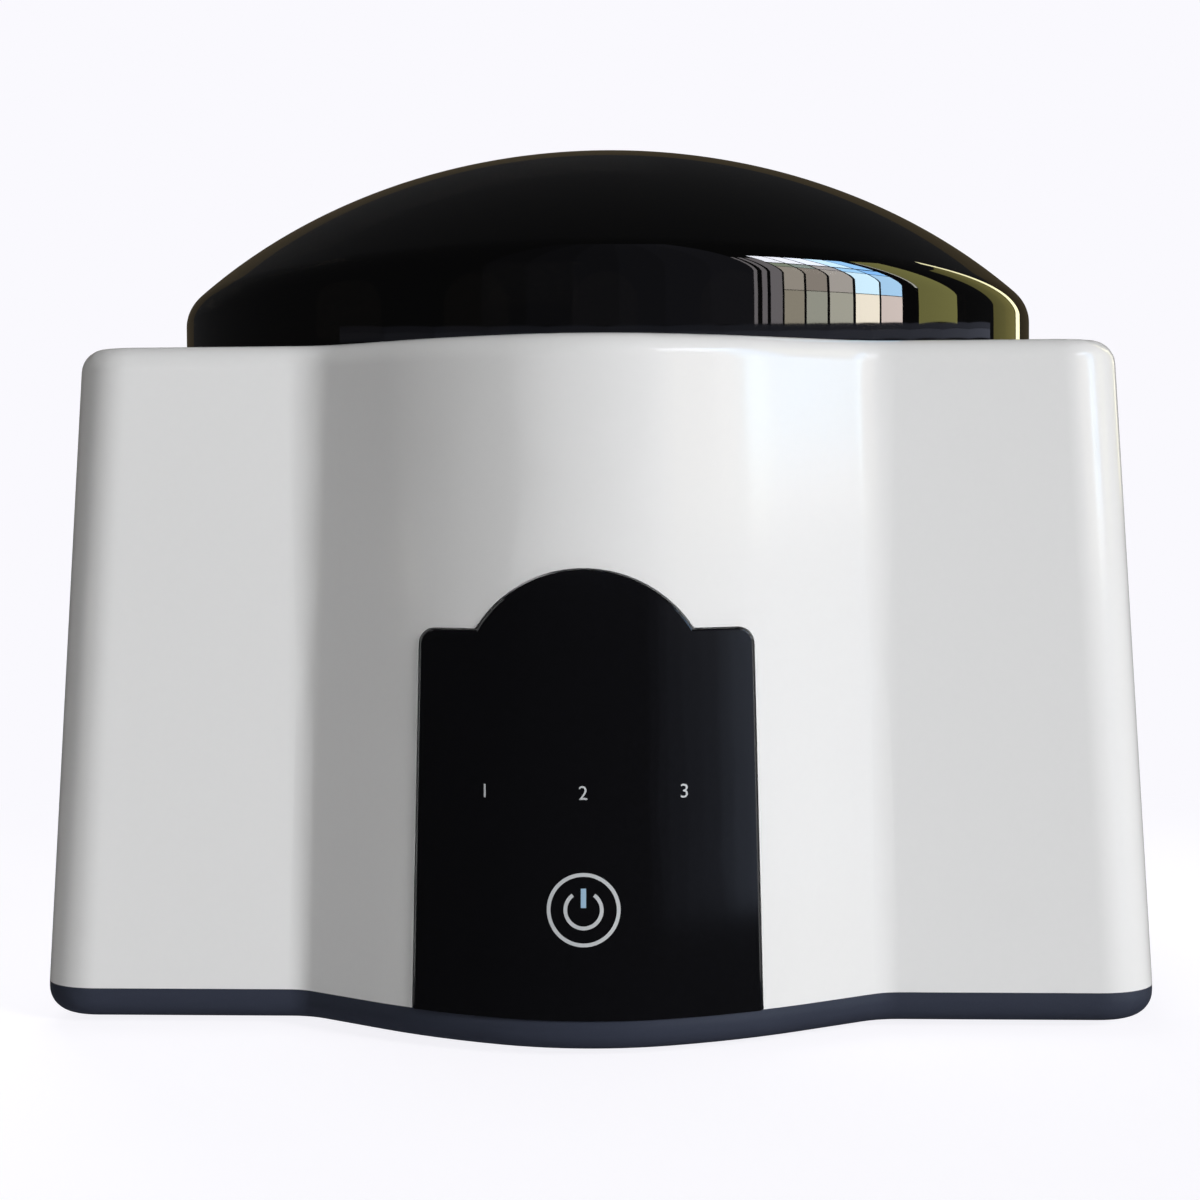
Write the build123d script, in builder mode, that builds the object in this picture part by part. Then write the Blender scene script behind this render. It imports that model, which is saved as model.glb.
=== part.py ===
from build123d import *
import os
from math import acos, asin, cos, degrees, radians, sin, sqrt, tan

# Table-top steam appliance for taking off nail gel: a tall white housing with a curved
# front bulge, a touch panel on the bulge, a dark base tray and a smoked hood that swings
# back over a steam chamber. Millimetres, +Z up, -Y is the panel side, origin on the table.

# Housing
body_width = 223.6        # across the lower edge of the shell
front_flat_y = -68.0      # the two flat stretches beside the bulge
rear_y = 95.0
bulge_reach = 27.0        # the bulge stands this far in front of the flats
crown_radius = 50.0       # plan radius of the bulge's nose
crown_turn = 20.0         # the nose has turned this far where the flatter shoulders take over
shoulder_radius = 110.0
flank_angle = 35.0        # the end of the bulge's flanks, from the X axis
valley_radius = 9.0       # plan radius where the bulge runs out into the flats
draft = 3.0
corner_radius = 12.0
top_edge_radius = 5.0
shell_height = 128.6
shell_wall = 2.5
palm_start_y = 14.0       # the flat top ends here and falls to the rear as a palm rest
palm_slope = 20.5
palm_blend = 30.0

# Base tray and feet
foot_drop = 1.5
foot_radius = 7.0
foot_recess = 1.0
foot_side = 25.0          # from the housing's sides to the middle of a foot
foot_front = 18.0
foot_rear = 19.0
foot_chamfer = 0.4
tray_height = 6.3
tray_floor = 2.2
tray_edge_radius = 5.0
lip_height = 4.0
lip_wall = 1.6
fit_gap = 0.3             # between mouldings that drop into each other

# Hood over the steam chamber
rim_y = 7.0               # plane of the hood's open rear arch
hood_half_width = 95.3
hood_reach = 75.0         # from the rim plane to the front of the hood
hood_apex_rise = 47.3
hood_crown_across = 126.0 # half axes of the ellipse that the crown follows from side to side
hood_crown_rise = 104.0
hood_side_radius = 110.0  # the crown curves down to the front on this radius
hood_edge_radius = 8.0
crown_overrun = 3.0       # the crown is drawn this far past the side band, before they meet
hood_wall = 2.2
hood_gap = 0.3            # hood to deck when shut
pivot_y = 0.5
boss_radius = 4.6
boss_inset = 5.0          # from the hood's widest place to the inner face of its bosses
boss_root = 0.33          # the boss runs this far into the hood's wall
pin_radius = 1.5
pin_running_gap = 0.05
pin_length = 10.5
pin_chamfer = 0.3
pin_end_gap = 0.3
boss_bore_depth = 2.9

# Gate with the finger openings, fixed just inside the hood's rear arch
gate_thickness = 5.0
gate_clearance = 0.8      # to the inside of the hood, over its whole swing
gate_end_gap = 0.5        # between the gate's ends and the bosses
gate_sill = 2.0
finger_count = 5
finger_pitch = 29.0
finger_width = 22.0
finger_height = 22.0
seal_lip = 3.5
seal_thickness = 1.4
seal_groove = 0.8
seal_play = 0.05
sill_corner = 2.0
gate_pilot_depth = 9.0

# Deck, dish and vapour grille
deck_margin = 0.8         # the deck shows this far outside the hood
deck_corner = 3.0
deck_screw_inset = 5.5    # from the hood's outline to the screws along the deck's rim
deck_thickness = 2.5
ledge_width = 3.0
ledge_root = 2.5          # how far the ledge runs outwards under the shell's top
ledge_thickness = 2.5
gasket_width = 1.6
gasket_groove = 1.0
gasket_proud = 0.15
gasket_end_y = -9.0
gasket_play = 0.05
dish_half_width = 66.0
dish_reach = 44.0
dish_back_y = -8.0
dish_corner = 5.0
dish_depth = 11.0
dish_wall = 1.2
dish_flange = 3.2
dish_foot_radius = 3.0
dish_lift_gap = 0.2
well_gap = 0.8
well_wall = 2.2
grille_thickness = 1.2
grille_spigot = 2.2
grille_slot_width = 3.2
grille_slot_length = 24.0
grille_slot_pitch = 8.0
grille_slot_count = 15
grille_slot_margin = 10.0
grille_gap = 0.1
grille_chamfer = 0.4

# Heater under the well
seal_height = 1.0
plate_thickness = 3.0
plate_ear = 4.6
ptc_length = 60.0
ptc_width = 24.0
ptc_height = 6.0
ptc_corner = 1.5
ptc_set_forward = 6.5     # from the dish's back to the heating element
tab_width = 5.0
tab_length = 10.0
tab_thickness = 0.8
tab_inset = 4.0           # from the element's end to the middle of a tab
tab_overlap = 1.0         # a tab starts this far inside the element
insulation_thickness = 1.5
insulation_inset = 1.5
clamp_thickness = 1.0
clamp_width = 14.0
clamp_foot = 9.0
clamp_play = 0.5
plate_pilot_depth = 7.0
plate_chamfer = 0.4
plate_screw_x = 46.0
plate_screw_set_out = 1.4 # from the well's skirt to the screws round it
plate_pilot_floor = 0.6   # left under the clamp screws' pilot holes
fuse_radius = 2.0
fuse_length = 12.0
fuse_chamfer = 0.5
fuse_lead_radius = 0.5
fuse_lead_length = 7.0
fuse_set_back = 7.5       # from the front of the dish to the fuse
sensor_width = 6.0
sensor_length = 12.0
sensor_pad = 1.0
sensor_bead_radius = 2.0
sensor_bead_height = 2.5
sensor_bead_chamfer = 0.7
sensor_set_out = 9.0      # from the clamp's foot to the middle of the sensor

# Touch panel
panel_bottom_half = 33.3
panel_top_half = 31.8
panel_shoulder_rise = 72.5   # above the shell's lower edge
panel_apex_rise = 83.9
panel_arch_half = 20.4
panel_corner = 3.0
panel_proud = 0.6
panel_edge_chamfer = 0.3
panel_thickness = 1.4
adhesive_thickness = 0.2
ring_rise = 20.6          # the touch key's centre above the shell's lower edge
mark_rise = 42.2          # the row of three marks
mark_pitch = 18.6
touch_board_y = -80.0     # front face of the touch board
touch_board_width = 50.0
touch_board_height = 58.0
board_thickness = 1.6
light_box_width = 50.0
light_box_height = 11.0
light_cell = 11.0
light_cell_height = 8.0
light_cell_corner = 1.0
foam_radius = 5.5
lamp_width = 3.5
lamp_height = 2.8
lamp_depth = 1.4
touch_board_rise = 2.0
touch_board_corner = 2.0
touch_screw_x = 20.0
touch_screw_rises = (8.0, 54.0)
panel_plug_rise = 18.0

# Main board, inlet and screws
board_width = 104.0
board_depth = 66.0
board_y = 36.0
board_corner = 3.0
post_inset = 5.0          # from the board's edges to its posts
board_rise = 9.0          # underside above the tray's floor
jack_x = 62.0
jack_rise = 14.0          # centre above the shell's lower edge
jack_recess = 1.4
jack_nose_radius = 5.5
jack_flange_radius = 8.0
screw_radius = 1.45
screw_pilot_gap = 0.05
screw_clearance = 0.35
screw_head_radius = 2.8
screw_head_height = 1.8
screw_head_sink = 2.3
screw_head_sunk = 0.1     # countersunk heads lie this far below the deck
screw_head_play = 0.15    # and this much inside their holes' rims
sink_angle = 82.0
deck_boss_height = 10.0
base_pilot_depth = 14.0
base_screw_side = 13.0    # from the housing's sides to the screws under it
base_screw_end = 17.0     # and from its front flats and rear
base_boss_rise = 6.0      # from the shell's lower edge up to the bosses over the tray
base_boss_height = 30.0
boss_rib_thickness = 2.0
boss_rib_x = 12.0         # ribs from a boss to the side wall and to the wall in front or behind
boss_rib_y = 16.0
deck_boss_wall = 2.8      # material round each kind of pilot hole, from the screw's shank
base_boss_wall = 3.0
touch_boss_wall = 1.6
post_wall = 1.8
plate_boss_wall = 2.2
base_head_wall = 1.5      # material round the sunk screw heads under the tray
pilot_floor = 1.0         # left below a blind pilot hole
screw_end_gap = 1.0       # from a screw's tip to the bottom of its pilot hole
touch_pilot_depth = 4.0
vent_count = 7
vent_pitch = 7.0
vent_width = 3.0
vent_length = 44.0
lead_diameter = 2.4
lead_gap = 0.4
cable_straight = 14.0     # the panel's cable runs straight out of its plugs
cable_fall = 34.0         # then falls to the main board's height this far behind the first plug
cable_rest = 52.0
cable_sway = 4.0
cable_sag = 2.0
jack_barrel = 12.0        # from the flange's seat to the terminals
jack_nut_across = 14.0
jack_nut_thickness = 2.5
jack_bore_radius = 2.85
jack_pin_radius = 1.0
jack_lip = 0.4            # the flange stands this much below the rim of its recess
jack_flange_chamfer = 0.4
jack_floor = 2.0          # left behind the plug's bore
jack_pad = 2.0            # the wall inside is built out this far round the flange
connector_width = 10.0
connector_depth = 6.0
connector_height = 7.0
capacitors = [(-36, 54, 6.3, 16), (-21, 57, 5, 12), (25, 58, 4, 11)]   # x, y, radius, height
capacitor_chamfer = 0.6
inductor_at = (-30, 28)
inductor_radius = 9.0
inductor_hole_radius = 4.0
inductor_height = 7.0
inductor_chamfer = 1.5
heat_sink_at = (0, 44)
sink_plate_thickness = 2.0
sink_plate_width = 26.0
sink_height = 18.0
fin_count = 5
fin_pitch = 5.8
fin_length = 9.0
fin_thickness = 1.2
transistor_thickness = 4.4
transistor_width = 10.0
transistor_height = 15.0
transistor_chamfer = 0.6
buzzer_at = (36, 34)
buzzer_radius = 6.0
buzzer_height = 7.0
buzzer_chamfer = 0.5
buzzer_hole_radius = 1.0
buzzer_hole_depth = 4.0
connectors_at = [(0, 8), (26, 8), (36, 55)]   # touch board's, heater's, inlet's

# Places that follow from the sizes above
boss_inner_x = hood_half_width - boss_inset
gate_end_x = boss_inner_x - gate_end_gap
base_screw_x = body_width / 2 - base_screw_side
foot_x = body_width / 2 - foot_side
tray_z = foot_drop
shell_z = foot_drop + tray_height
deck_z = shell_z + shell_height
pivot_z = deck_z + hood_gap + (rim_y - pivot_y)
gate_rear_y = pivot_y + gate_thickness / 2
seal_y = pivot_y + seal_thickness / 2
dish_bottom_z = deck_z - dish_depth
plate_top_z = dish_bottom_z - dish_lift_gap
plate_z = plate_top_z - plate_thickness
tray_floor_z = tray_z + tray_floor
board_z = tray_floor_z + board_rise
panel_plug_z = shell_z + panel_plug_rise
board_top_z = board_z + board_thickness
grille_z = deck_z + dish_lift_gap + dish_wall + grille_gap
heater_y = dish_back_y - ptc_width / 2 - ptc_set_forward
clamp_span = ptc_length + 2 * clamp_play
plug_y = touch_board_y + board_thickness + connector_height
ring_z = shell_z + ring_rise
mark_z = shell_z + mark_rise
jack_z = shell_z + jack_rise
jack_seat_y = rear_y - jack_rise * tan(radians(draft)) - jack_recess
jack_inner_y = jack_seat_y - jack_floor
jack_rear_y = jack_seat_y - jack_barrel
panel_seat = panel_thickness - panel_proud + adhesive_thickness
pin_in_gate = pin_length - (boss_inner_x + boss_bore_depth - pin_end_gap - gate_end_x)
reach_out = 2 * body_width   # longer than anything, for cuts that run right through

# Plan geometry of the bulge: the centres of the crown, and of the right shoulder and valley
flank = radians(flank_angle)
turn = radians(crown_turn)
crown_y = front_flat_y - bulge_reach + crown_radius
shoulder_x = (crown_radius - shoulder_radius) * sin(turn)
shoulder_y = crown_y - (crown_radius - shoulder_radius) * cos(turn)
valley_y = front_flat_y - valley_radius
flank_run = (
    valley_y + valley_radius * cos(flank) - (shoulder_y - shoulder_radius * cos(flank))
) / tan(flank)
valley_x = shoulder_x + (shoulder_radius + valley_radius) * sin(flank) + flank_run


# Plan outline of the housing, drawn inset from the one at the shell's lower edge
def body_outline(inset, z, corner=0.0):
    crown = crown_radius - inset
    shoulder = shoulder_radius - inset
    middle_turn = (turn + flank) / 2
    valley = valley_radius + inset
    side_x = body_width / 2 - inset
    flat_y = front_flat_y + inset
    back_y = rear_y - inset
    with BuildSketch(Plane.XY.offset(z)) as outline:
        with BuildLine():
            ThreePointArc(
                (-crown * sin(turn), crown_y - crown * cos(turn)),
                (0, crown_y - crown),
                (crown * sin(turn), crown_y - crown * cos(turn)),
            )
            for side in (1, -1):
                nose_end = (side * crown * sin(turn), crown_y - crown * cos(turn))
                shoulder_middle = (
                    side * (shoulder_x + shoulder * sin(middle_turn)),
                    shoulder_y - shoulder * cos(middle_turn),
                )
                start = (
                    side * (shoulder_x + shoulder * sin(flank)),
                    shoulder_y - shoulder * cos(flank),
                )
                turn_in = (side * (valley_x - valley * sin(flank)), valley_y + valley * cos(flank))
                middle = (
                    side * (valley_x - valley * sin(flank / 2)),
                    valley_y + valley * cos(flank / 2),
                )
                turn_out = (side * valley_x, flat_y)
                ThreePointArc(nose_end, shoulder_middle, start)
                Line(start, turn_in)
                ThreePointArc(turn_in, middle, turn_out)
                Polyline(turn_out, (side * side_x, flat_y), (side * side_x, back_y))
            Line((-side_x, back_y), (side_x, back_y))
        make_face()
        if corner:
            fillet(outline.vertices().filter_by(lambda v: abs(v.X) > side_x - 1), corner)
    return outline.sketch


# The housing's form from z upwards with its draft and rounded upright corners
def body_block(inset, z, height):
    drawn_in = inset + (z - shell_z) * tan(radians(draft))
    with BuildPart() as block:
        extrude(body_outline(drawn_in, z), amount=height, taper=draft)
        upright = block.edges().filter_by(lambda e: abs((e @ 1 - e @ 0).Z) > height * 0.9)
        fillet(upright.filter_by(lambda e: abs((e @ 0).X) > valley_x + 10), corner_radius - inset)
    return block.part


# Everything above the shell's top: flat at the hood, falling towards the rear
def above_shell(inset):
    fall = (rear_y - palm_start_y) * 2
    with BuildPart() as above:
        with BuildSketch(Plane.YZ) as side_view:
            with BuildLine():
                Polyline(
                    (-reach_out, deck_z),
                    (palm_start_y, deck_z),
                    (palm_start_y + fall, deck_z - fall * tan(radians(palm_slope))),
                    (palm_start_y + fall, deck_z + reach_out),
                    (-reach_out, deck_z + reach_out),
                    close=True,
                )
            make_face()
            fillet(side_view.vertices().sort_by_distance((palm_start_y, deck_z))[0], palm_blend)
            if inset:
                offset(amount=inset, kind=Kind.INTERSECTION)
        extrude(amount=body_width, both=True)
    return above.part


# The edges round a set of faces, without those that two of them share
def outline_edges(faces):
    return [e for e in faces.edges() if len([f for f in faces if e in f.edges()]) == 1]


# The closed form of the shell, inset by any wall, with its rounded top edge
def body_form(inset):
    edge = top_edge_radius - inset
    with BuildPart() as form:
        add(body_block(inset, shell_z, shell_height + top_edge_radius))
        add(above_shell(inset), mode=Mode.SUBTRACT)
        if edge > 0.5:
            tops = form.faces().filter_by(lambda f: f.normal_at().Z > cos(radians(palm_slope + 2)))
            fillet(outline_edges(tops), edge)
    return form.part


# The front half of an ellipse about (0, centre_y), closed by a straight back
def half_ellipse(centre_y, half_width, reach, back_y, corner, z):
    lean = degrees(asin((back_y - centre_y) / reach))
    with BuildSketch(Plane.XY.offset(z)) as outline:
        with BuildLine():
            front = EllipticalCenterArc(
                (0, centre_y), half_width, reach, start_angle=180 - lean, arc_size=180 + 2 * lean
            )
            Line(front @ 1, front @ 0)
        make_face()
        fillet(outline.vertices(), corner)
    return outline.sketch


# Whole ellipse of the hood's wall, about the rim plane
def hood_ellipse(grow, z):
    with BuildSketch(Plane.XY.offset(z)) as outline:
        with Locations((0, rim_y)):
            Ellipse(hood_half_width + grow, hood_reach + grow)
    return outline.sketch


# Outline of the deck, a little outside the hood, and of its seat in the shell
def deck_outline(grow, z):
    out = deck_margin + grow
    return half_ellipse(rim_y, hood_half_width + out, hood_reach + out, rim_y + out, deck_corner, z)


# The hood as a closed form: upright band, then a crown curved both ways, edge rounded
def hood_form(inset, z):
    axis_z = deck_z + hood_apex_rise - hood_side_radius
    across = hood_crown_across - inset
    rise = hood_crown_rise - inset
    centre_z = axis_z - hood_side_radius + hood_crown_rise
    end_x = hood_half_width + crown_overrun
    end_angle = degrees(acos(end_x / across))
    with BuildPart() as form:
        extrude(hood_ellipse(-inset, z), amount=hood_apex_rise * 2)
        with BuildSketch(Plane.XZ.offset(-rim_y)):
            with BuildLine():
                section = EllipticalCenterArc(
                    (0, centre_z), across, rise, start_angle=180 + end_angle, arc_size=180 - 2 * end_angle
                )
                Polyline(section @ 1, (end_x, axis_z), (-end_x, axis_z), section @ 0)
            make_face()
        revolve(axis=Axis((0, rim_y, axis_z), (1, 0, 0)), mode=Mode.INTERSECT)
        crease = form.faces().sort_by(Axis.Z)[-1].edges()
        fillet(crease, hood_edge_radius - inset)
    return form.part


# Ring that follows the hood's lower edge round the front, for the gasket and its groove
def gasket_ring(play, z, height):
    with BuildPart() as ring:
        half = gasket_width / 2 + play
        extrude(hood_ellipse(half - hood_wall / 2, z), amount=height)
        extrude(hood_ellipse(-half - hood_wall / 2, z), amount=height, mode=Mode.SUBTRACT)
        split(bisect_by=Plane.XZ.offset(-gasket_end_y - play), keep=Keep.TOP)
    return ring.part


# D-shaped outline of the dish, also for its well, its plate and the grille
def dish_outline(grow, z):
    corner = dish_corner + max(grow, 0)
    half_width = dish_half_width + grow
    return half_ellipse(dish_back_y, half_width, dish_reach + grow, dish_back_y + grow, corner, z)


# Front view of the touch panel: an arch on shoulders, slightly wider towards the bottom
def panel_outline(grow):
    shoulder = shell_z + panel_shoulder_rise + grow
    with BuildSketch(Plane.XZ) as outline:
        with BuildLine():
            ThreePointArc(
                (-panel_arch_half - grow, shoulder),
                (0, shell_z + panel_apex_rise + grow),
                (panel_arch_half + grow, shoulder),
            )
            for side in (1, -1):
                Polyline(
                    (side * (panel_arch_half + grow), shoulder),
                    (side * (panel_top_half + grow), shoulder),
                    (side * (panel_bottom_half + grow), shell_z),
                )
            Line((-panel_bottom_half - grow, shell_z), (panel_bottom_half + grow, shell_z))
        make_face()
        shoulders = outline.vertices().filter_by(lambda v: abs(v.X) > panel_top_half - 1)
        fillet(shoulders.group_by(Axis.Y)[-1], panel_corner + grow)
    return outline.sketch


# Openings behind the panel: one for the light box, one for the touch key's foam
def panel_windows(grow):
    with BuildSketch(Plane.XZ.offset(-touch_board_y)) as windows:
        with Locations((0, mark_z)):
            Rectangle(light_box_width + 2 * grow, light_box_height + 2 * grow)
        with Locations((0, ring_z)):
            Circle(foam_radius + grow)
    return windows.sketch


# A layer of the front bulge between two insets, cut to the panel's outline
def panel_layer(grow, outer, inner):
    with BuildPart() as layer:
        add(body_block(outer, shell_z, shell_height))
        add(body_block(inner, shell_z, shell_height), mode=Mode.SUBTRACT)
        extrude(panel_outline(grow), amount=reach_out, mode=Mode.INTERSECT)
    return layer.part


# Outline of one finger opening: straight sides under a round arch, drawn at depth y
def finger_arch(shrink, x, y):
    half = finger_width / 2 - shrink
    sill_z = deck_z + gate_sill + shrink
    spring_z = deck_z + gate_sill + finger_height - finger_width / 2
    with BuildSketch(Plane.XZ.offset(-y)) as arch:
        with BuildLine():
            Polyline((x - half, spring_z), (x - half, sill_z), (x + half, sill_z), (x + half, spring_z))
            ThreePointArc((x + half, spring_z), (x, spring_z + half), (x - half, spring_z))
        make_face()
        fillet(arch.vertices().group_by(Axis.Y)[0], sill_corner)
    return arch.sketch


# Where the plate and deck screws stand, just outside the dish's outline
def around_dish(x, out):
    y = -dish_reach * sqrt(1 - (x / dish_half_width) ** 2)
    across = x / dish_half_width**2
    along = y / dish_reach**2
    length = sqrt(across**2 + along**2)
    return (x + out * across / length, dish_back_y + y + out * along / length)


# A screw with a plain round head, upright on the underside of its head
def screw(length):
    with BuildPart() as one:
        Cylinder(screw_radius, length, align=(Align.CENTER, Align.CENTER, Align.MIN))
        Cylinder(screw_head_radius, screw_head_height, align=(Align.CENTER, Align.CENTER, Align.MAX))
    return one.part


# A lead along straight runs joined by the largest arcs that they allow
def lead_along(points, diameter):
    spots = [Vector(*p) for p in points]
    radii = []
    for before, here, after in zip(spots, spots[1:], spots[2:]):
        turn = radians((here - before).get_angle(after - here))
        run = min((here - before).length, (after - here).length)
        radii.append(0.45 * run / tan(turn / 2))
    print("lead radii", [round(r, 1) for r in radii])
    with BuildPart() as lead:
        with BuildLine() as route:
            FilletPolyline(*points, radius=radii)
        with BuildSketch(Plane(origin=route.line @ 0, z_dir=route.line % 0)):
            Circle(diameter / 2)
        sweep()
    return lead.part


finger_xs = [(i - (finger_count - 1) / 2) * finger_pitch for i in range(finger_count)]
deck_screw_angles = (12, 60, 120, 168)
deck_screws_at = [
    (
        (hood_half_width - deck_screw_inset) * cos(radians(a)),
        rim_y - (hood_reach - deck_screw_inset) * sin(radians(a)),
    )
    for a in deck_screw_angles
]
plate_screw_out = well_gap + well_wall + plate_screw_set_out
plate_screws_at = [
    around_dish(-plate_screw_x, plate_screw_out),
    around_dish(plate_screw_x, plate_screw_out),
    (-plate_screw_x, dish_back_y + plate_screw_out),
    (plate_screw_x, dish_back_y + plate_screw_out),
]
clamp_screw_x = clamp_span / 2 + clamp_thickness / 2 + clamp_foot / 2
clamp_screws_at = [(side * clamp_screw_x, heater_y) for side in (1, -1)]
gate_screw_xs = (-2.5 * finger_pitch, -0.5 * finger_pitch, 0.5 * finger_pitch, 2.5 * finger_pitch)
base_screws_at = [
    (side * base_screw_x, y)
    for side in (1, -1)
    for y in (front_flat_y + base_screw_end, rear_y - base_screw_end)
]
base_boss_z = shell_z + base_boss_rise
fuse_y = dish_back_y - dish_reach + fuse_set_back
tab_x = ptc_length / 2 - tab_inset
tab_y = heater_y + ptc_width / 2 + tab_length / 2 - tab_overlap
sensor_at = (clamp_span / 2 + clamp_foot + sensor_set_out, heater_y)
touch_screws_at = [
    (side * touch_screw_x, shell_z + rise) for side in (1, -1) for rise in touch_screw_rises
]
board_posts_at = [
    (side * (board_width / 2 - post_inset), board_y + end * (board_depth / 2 - post_inset))
    for side in (1, -1)
    for end in (1, -1)
]
feet_at = [
    (side * foot_x, y) for side in (1, -1) for y in (front_flat_y + foot_front, rear_y - foot_rear)
]
pilot_radius = screw_radius + screw_pilot_gap
through_radius = screw_radius + screw_clearance


# White outer shell: drafted walls, a ledge for the deck, bosses, and a seat for the panel
with BuildPart() as shell_works:
    with BuildSketch(Plane.XZ.offset(-jack_inner_y)):
        with Locations((jack_x, jack_z)):
            Circle(jack_flange_radius + jack_pad)
    extrude(amount=-(rear_y - jack_inner_y))
    extrude(deck_outline(ledge_root, deck_z - deck_thickness), amount=-ledge_thickness)
    extrude(
        deck_outline(-ledge_width, deck_z - deck_thickness),
        amount=-ledge_thickness,
        mode=Mode.SUBTRACT,
    )
    with BuildSketch(Plane.XY.offset(deck_z - deck_thickness)):
        with Locations(*deck_screws_at):
            Circle(screw_radius + deck_boss_wall)
    extrude(amount=-deck_boss_height)
    with BuildSketch(Plane.XY.offset(base_boss_z)):
        with Locations(*base_screws_at):
            Circle(screw_radius + base_boss_wall)
        for x, y in base_screws_at:
            with Locations((x, y)):
                across = Align.MIN if x > 0 else Align.MAX
                along = Align.MIN if y > 0 else Align.MAX
                Rectangle(boss_rib_x, boss_rib_thickness, align=(across, Align.CENTER))
                Rectangle(boss_rib_thickness, boss_rib_y, align=(Align.CENTER, along))
    extrude(amount=base_boss_height)
    with BuildSketch(Plane.XZ.offset(-touch_board_y)):
        with Locations(*touch_screws_at):
            Circle(screw_radius + touch_boss_wall)
    extrude(amount=bulge_reach)
    add(body_form(shell_wall / 2), mode=Mode.INTERSECT)

with BuildPart() as shell:
    add(body_form(0))
    add(body_form(shell_wall), mode=Mode.SUBTRACT)
    # the way through the top, then the ledge, and over it the recess that the deck drops into
    extrude(deck_outline(-ledge_width, deck_z), amount=-shell_wall, mode=Mode.SUBTRACT)
    add(shell_works.part)
    extrude(
        deck_outline(fit_gap, deck_z - deck_thickness),
        amount=deck_thickness * 2,
        mode=Mode.SUBTRACT,
    )
    # the panel's seat, with windows behind it for the light box and the touch key
    add(panel_layer(fit_gap, -1, panel_seat), mode=Mode.SUBTRACT)
    extrude(panel_windows(fit_gap), amount=bulge_reach, mode=Mode.SUBTRACT)
    # the inlet's seat and hole in the rear wall
    with BuildSketch(Plane.XZ.offset(-jack_seat_y)):
        with Locations((jack_x, jack_z)):
            Circle(jack_flange_radius + fit_gap)
    extrude(amount=-jack_recess * 3, mode=Mode.SUBTRACT)
    with BuildSketch(Plane.XZ.offset(-rear_y)):
        with Locations((jack_x, jack_z)):
            Circle(jack_nose_radius + fit_gap)
    extrude(amount=rear_y - jack_seat_y + shell_wall * 2, mode=Mode.SUBTRACT)
    with BuildSketch(Plane.XY.offset(deck_z - deck_thickness)):
        with Locations(*deck_screws_at):
            Circle(pilot_radius)
    extrude(amount=-deck_boss_height + pilot_floor, mode=Mode.SUBTRACT)
    with BuildSketch(Plane.XY.offset(base_boss_z)):
        with Locations(*base_screws_at):
            Circle(pilot_radius)
    extrude(amount=base_pilot_depth, mode=Mode.SUBTRACT)
    with BuildSketch(Plane.XZ.offset(-touch_board_y)):
        with Locations(*touch_screws_at):
            Circle(pilot_radius)
    extrude(amount=touch_pilot_depth, mode=Mode.SUBTRACT)
shell.part.label = "shell"


# Dark base tray: rounded underneath, a lip up inside the shell, posts for the main board
with BuildPart() as base_tray:
    extrude(body_outline(0, shell_z, corner_radius), amount=-tray_height)
    fillet(base_tray.faces().sort_by(Axis.Z)[0].edges(), tray_edge_radius)
    lip_inset = shell_wall + fit_gap
    extrude(body_outline(lip_inset, shell_z, corner_radius - lip_inset), amount=lip_height, taper=draft)
    hollow_inset = lip_inset + lip_wall
    extrude(
        body_outline(hollow_inset, tray_floor_z, corner_radius - hollow_inset),
        amount=tray_height + lip_height,
        mode=Mode.SUBTRACT,
    )
    with BuildSketch(Plane.XY.offset(tray_z)):
        with Locations(*base_screws_at):
            Circle(screw_head_radius + base_head_wall)
    extrude(amount=base_boss_z - tray_z)
    with BuildSketch(Plane.XY.offset(tray_z)):
        with Locations(*board_posts_at):
            Circle(screw_radius + post_wall)
    extrude(amount=board_z - tray_z)
    with Locations(*[Location((x, y, tray_z), (180, 0, 0)) for x, y in base_screws_at]):
        CounterBoreHole(
            radius=through_radius,
            counter_bore_radius=screw_head_radius + fit_gap,
            counter_bore_depth=screw_head_sink,
        )
    with BuildSketch(Plane.XY.offset(board_z)):
        with Locations(*board_posts_at):
            Circle(pilot_radius)
    extrude(amount=-board_rise + pilot_floor, mode=Mode.SUBTRACT)
    with BuildSketch(Plane.XY.offset(tray_z)):
        with Locations(*feet_at):
            Circle(foot_radius + fit_gap / 2)
    extrude(amount=foot_recess, mode=Mode.SUBTRACT)
    with BuildSketch(Plane.XY.offset(tray_z)):
        with Locations((0, board_y)):
            with GridLocations(vent_pitch, 1, vent_count, 1):
                SlotOverall(vent_length, vent_width, rotation=90)
    extrude(amount=tray_floor, mode=Mode.SUBTRACT)
base_tray.part.label = "base_tray"


with BuildPart() as rubber_feet:
    with BuildSketch():
        with Locations(*feet_at):
            Circle(foot_radius)
    extrude(amount=foot_drop + foot_recess)
    chamfer(rubber_feet.edges().group_by(Axis.Z)[0], foot_chamfer)
rubber_feet.part.label = "rubber_feet"


# Glossy touch panel wrapped round the bulge, and the adhesive sheet that holds it
with BuildPart() as control_panel:
    add(body_block(-panel_proud, shell_z, shell_height))
    extrude(panel_outline(0), amount=reach_out, mode=Mode.INTERSECT)
    rim = outline_edges(control_panel.faces().filter_by(lambda f: f.normal_at().Y < -0.5))
    chamfer([e for e in rim if (e @ 0.5).Z > shell_z + 1], panel_edge_chamfer)
    add(body_block(panel_thickness - panel_proud, shell_z, shell_height), mode=Mode.SUBTRACT)
control_panel.part.label = "control_panel"

with BuildPart() as panel_adhesive:
    add(panel_layer(-1, panel_thickness - panel_proud, panel_seat))
    extrude(panel_windows(1.0), amount=reach_out, mode=Mode.SUBTRACT)
panel_adhesive.part.label = "panel_adhesive"


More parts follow.
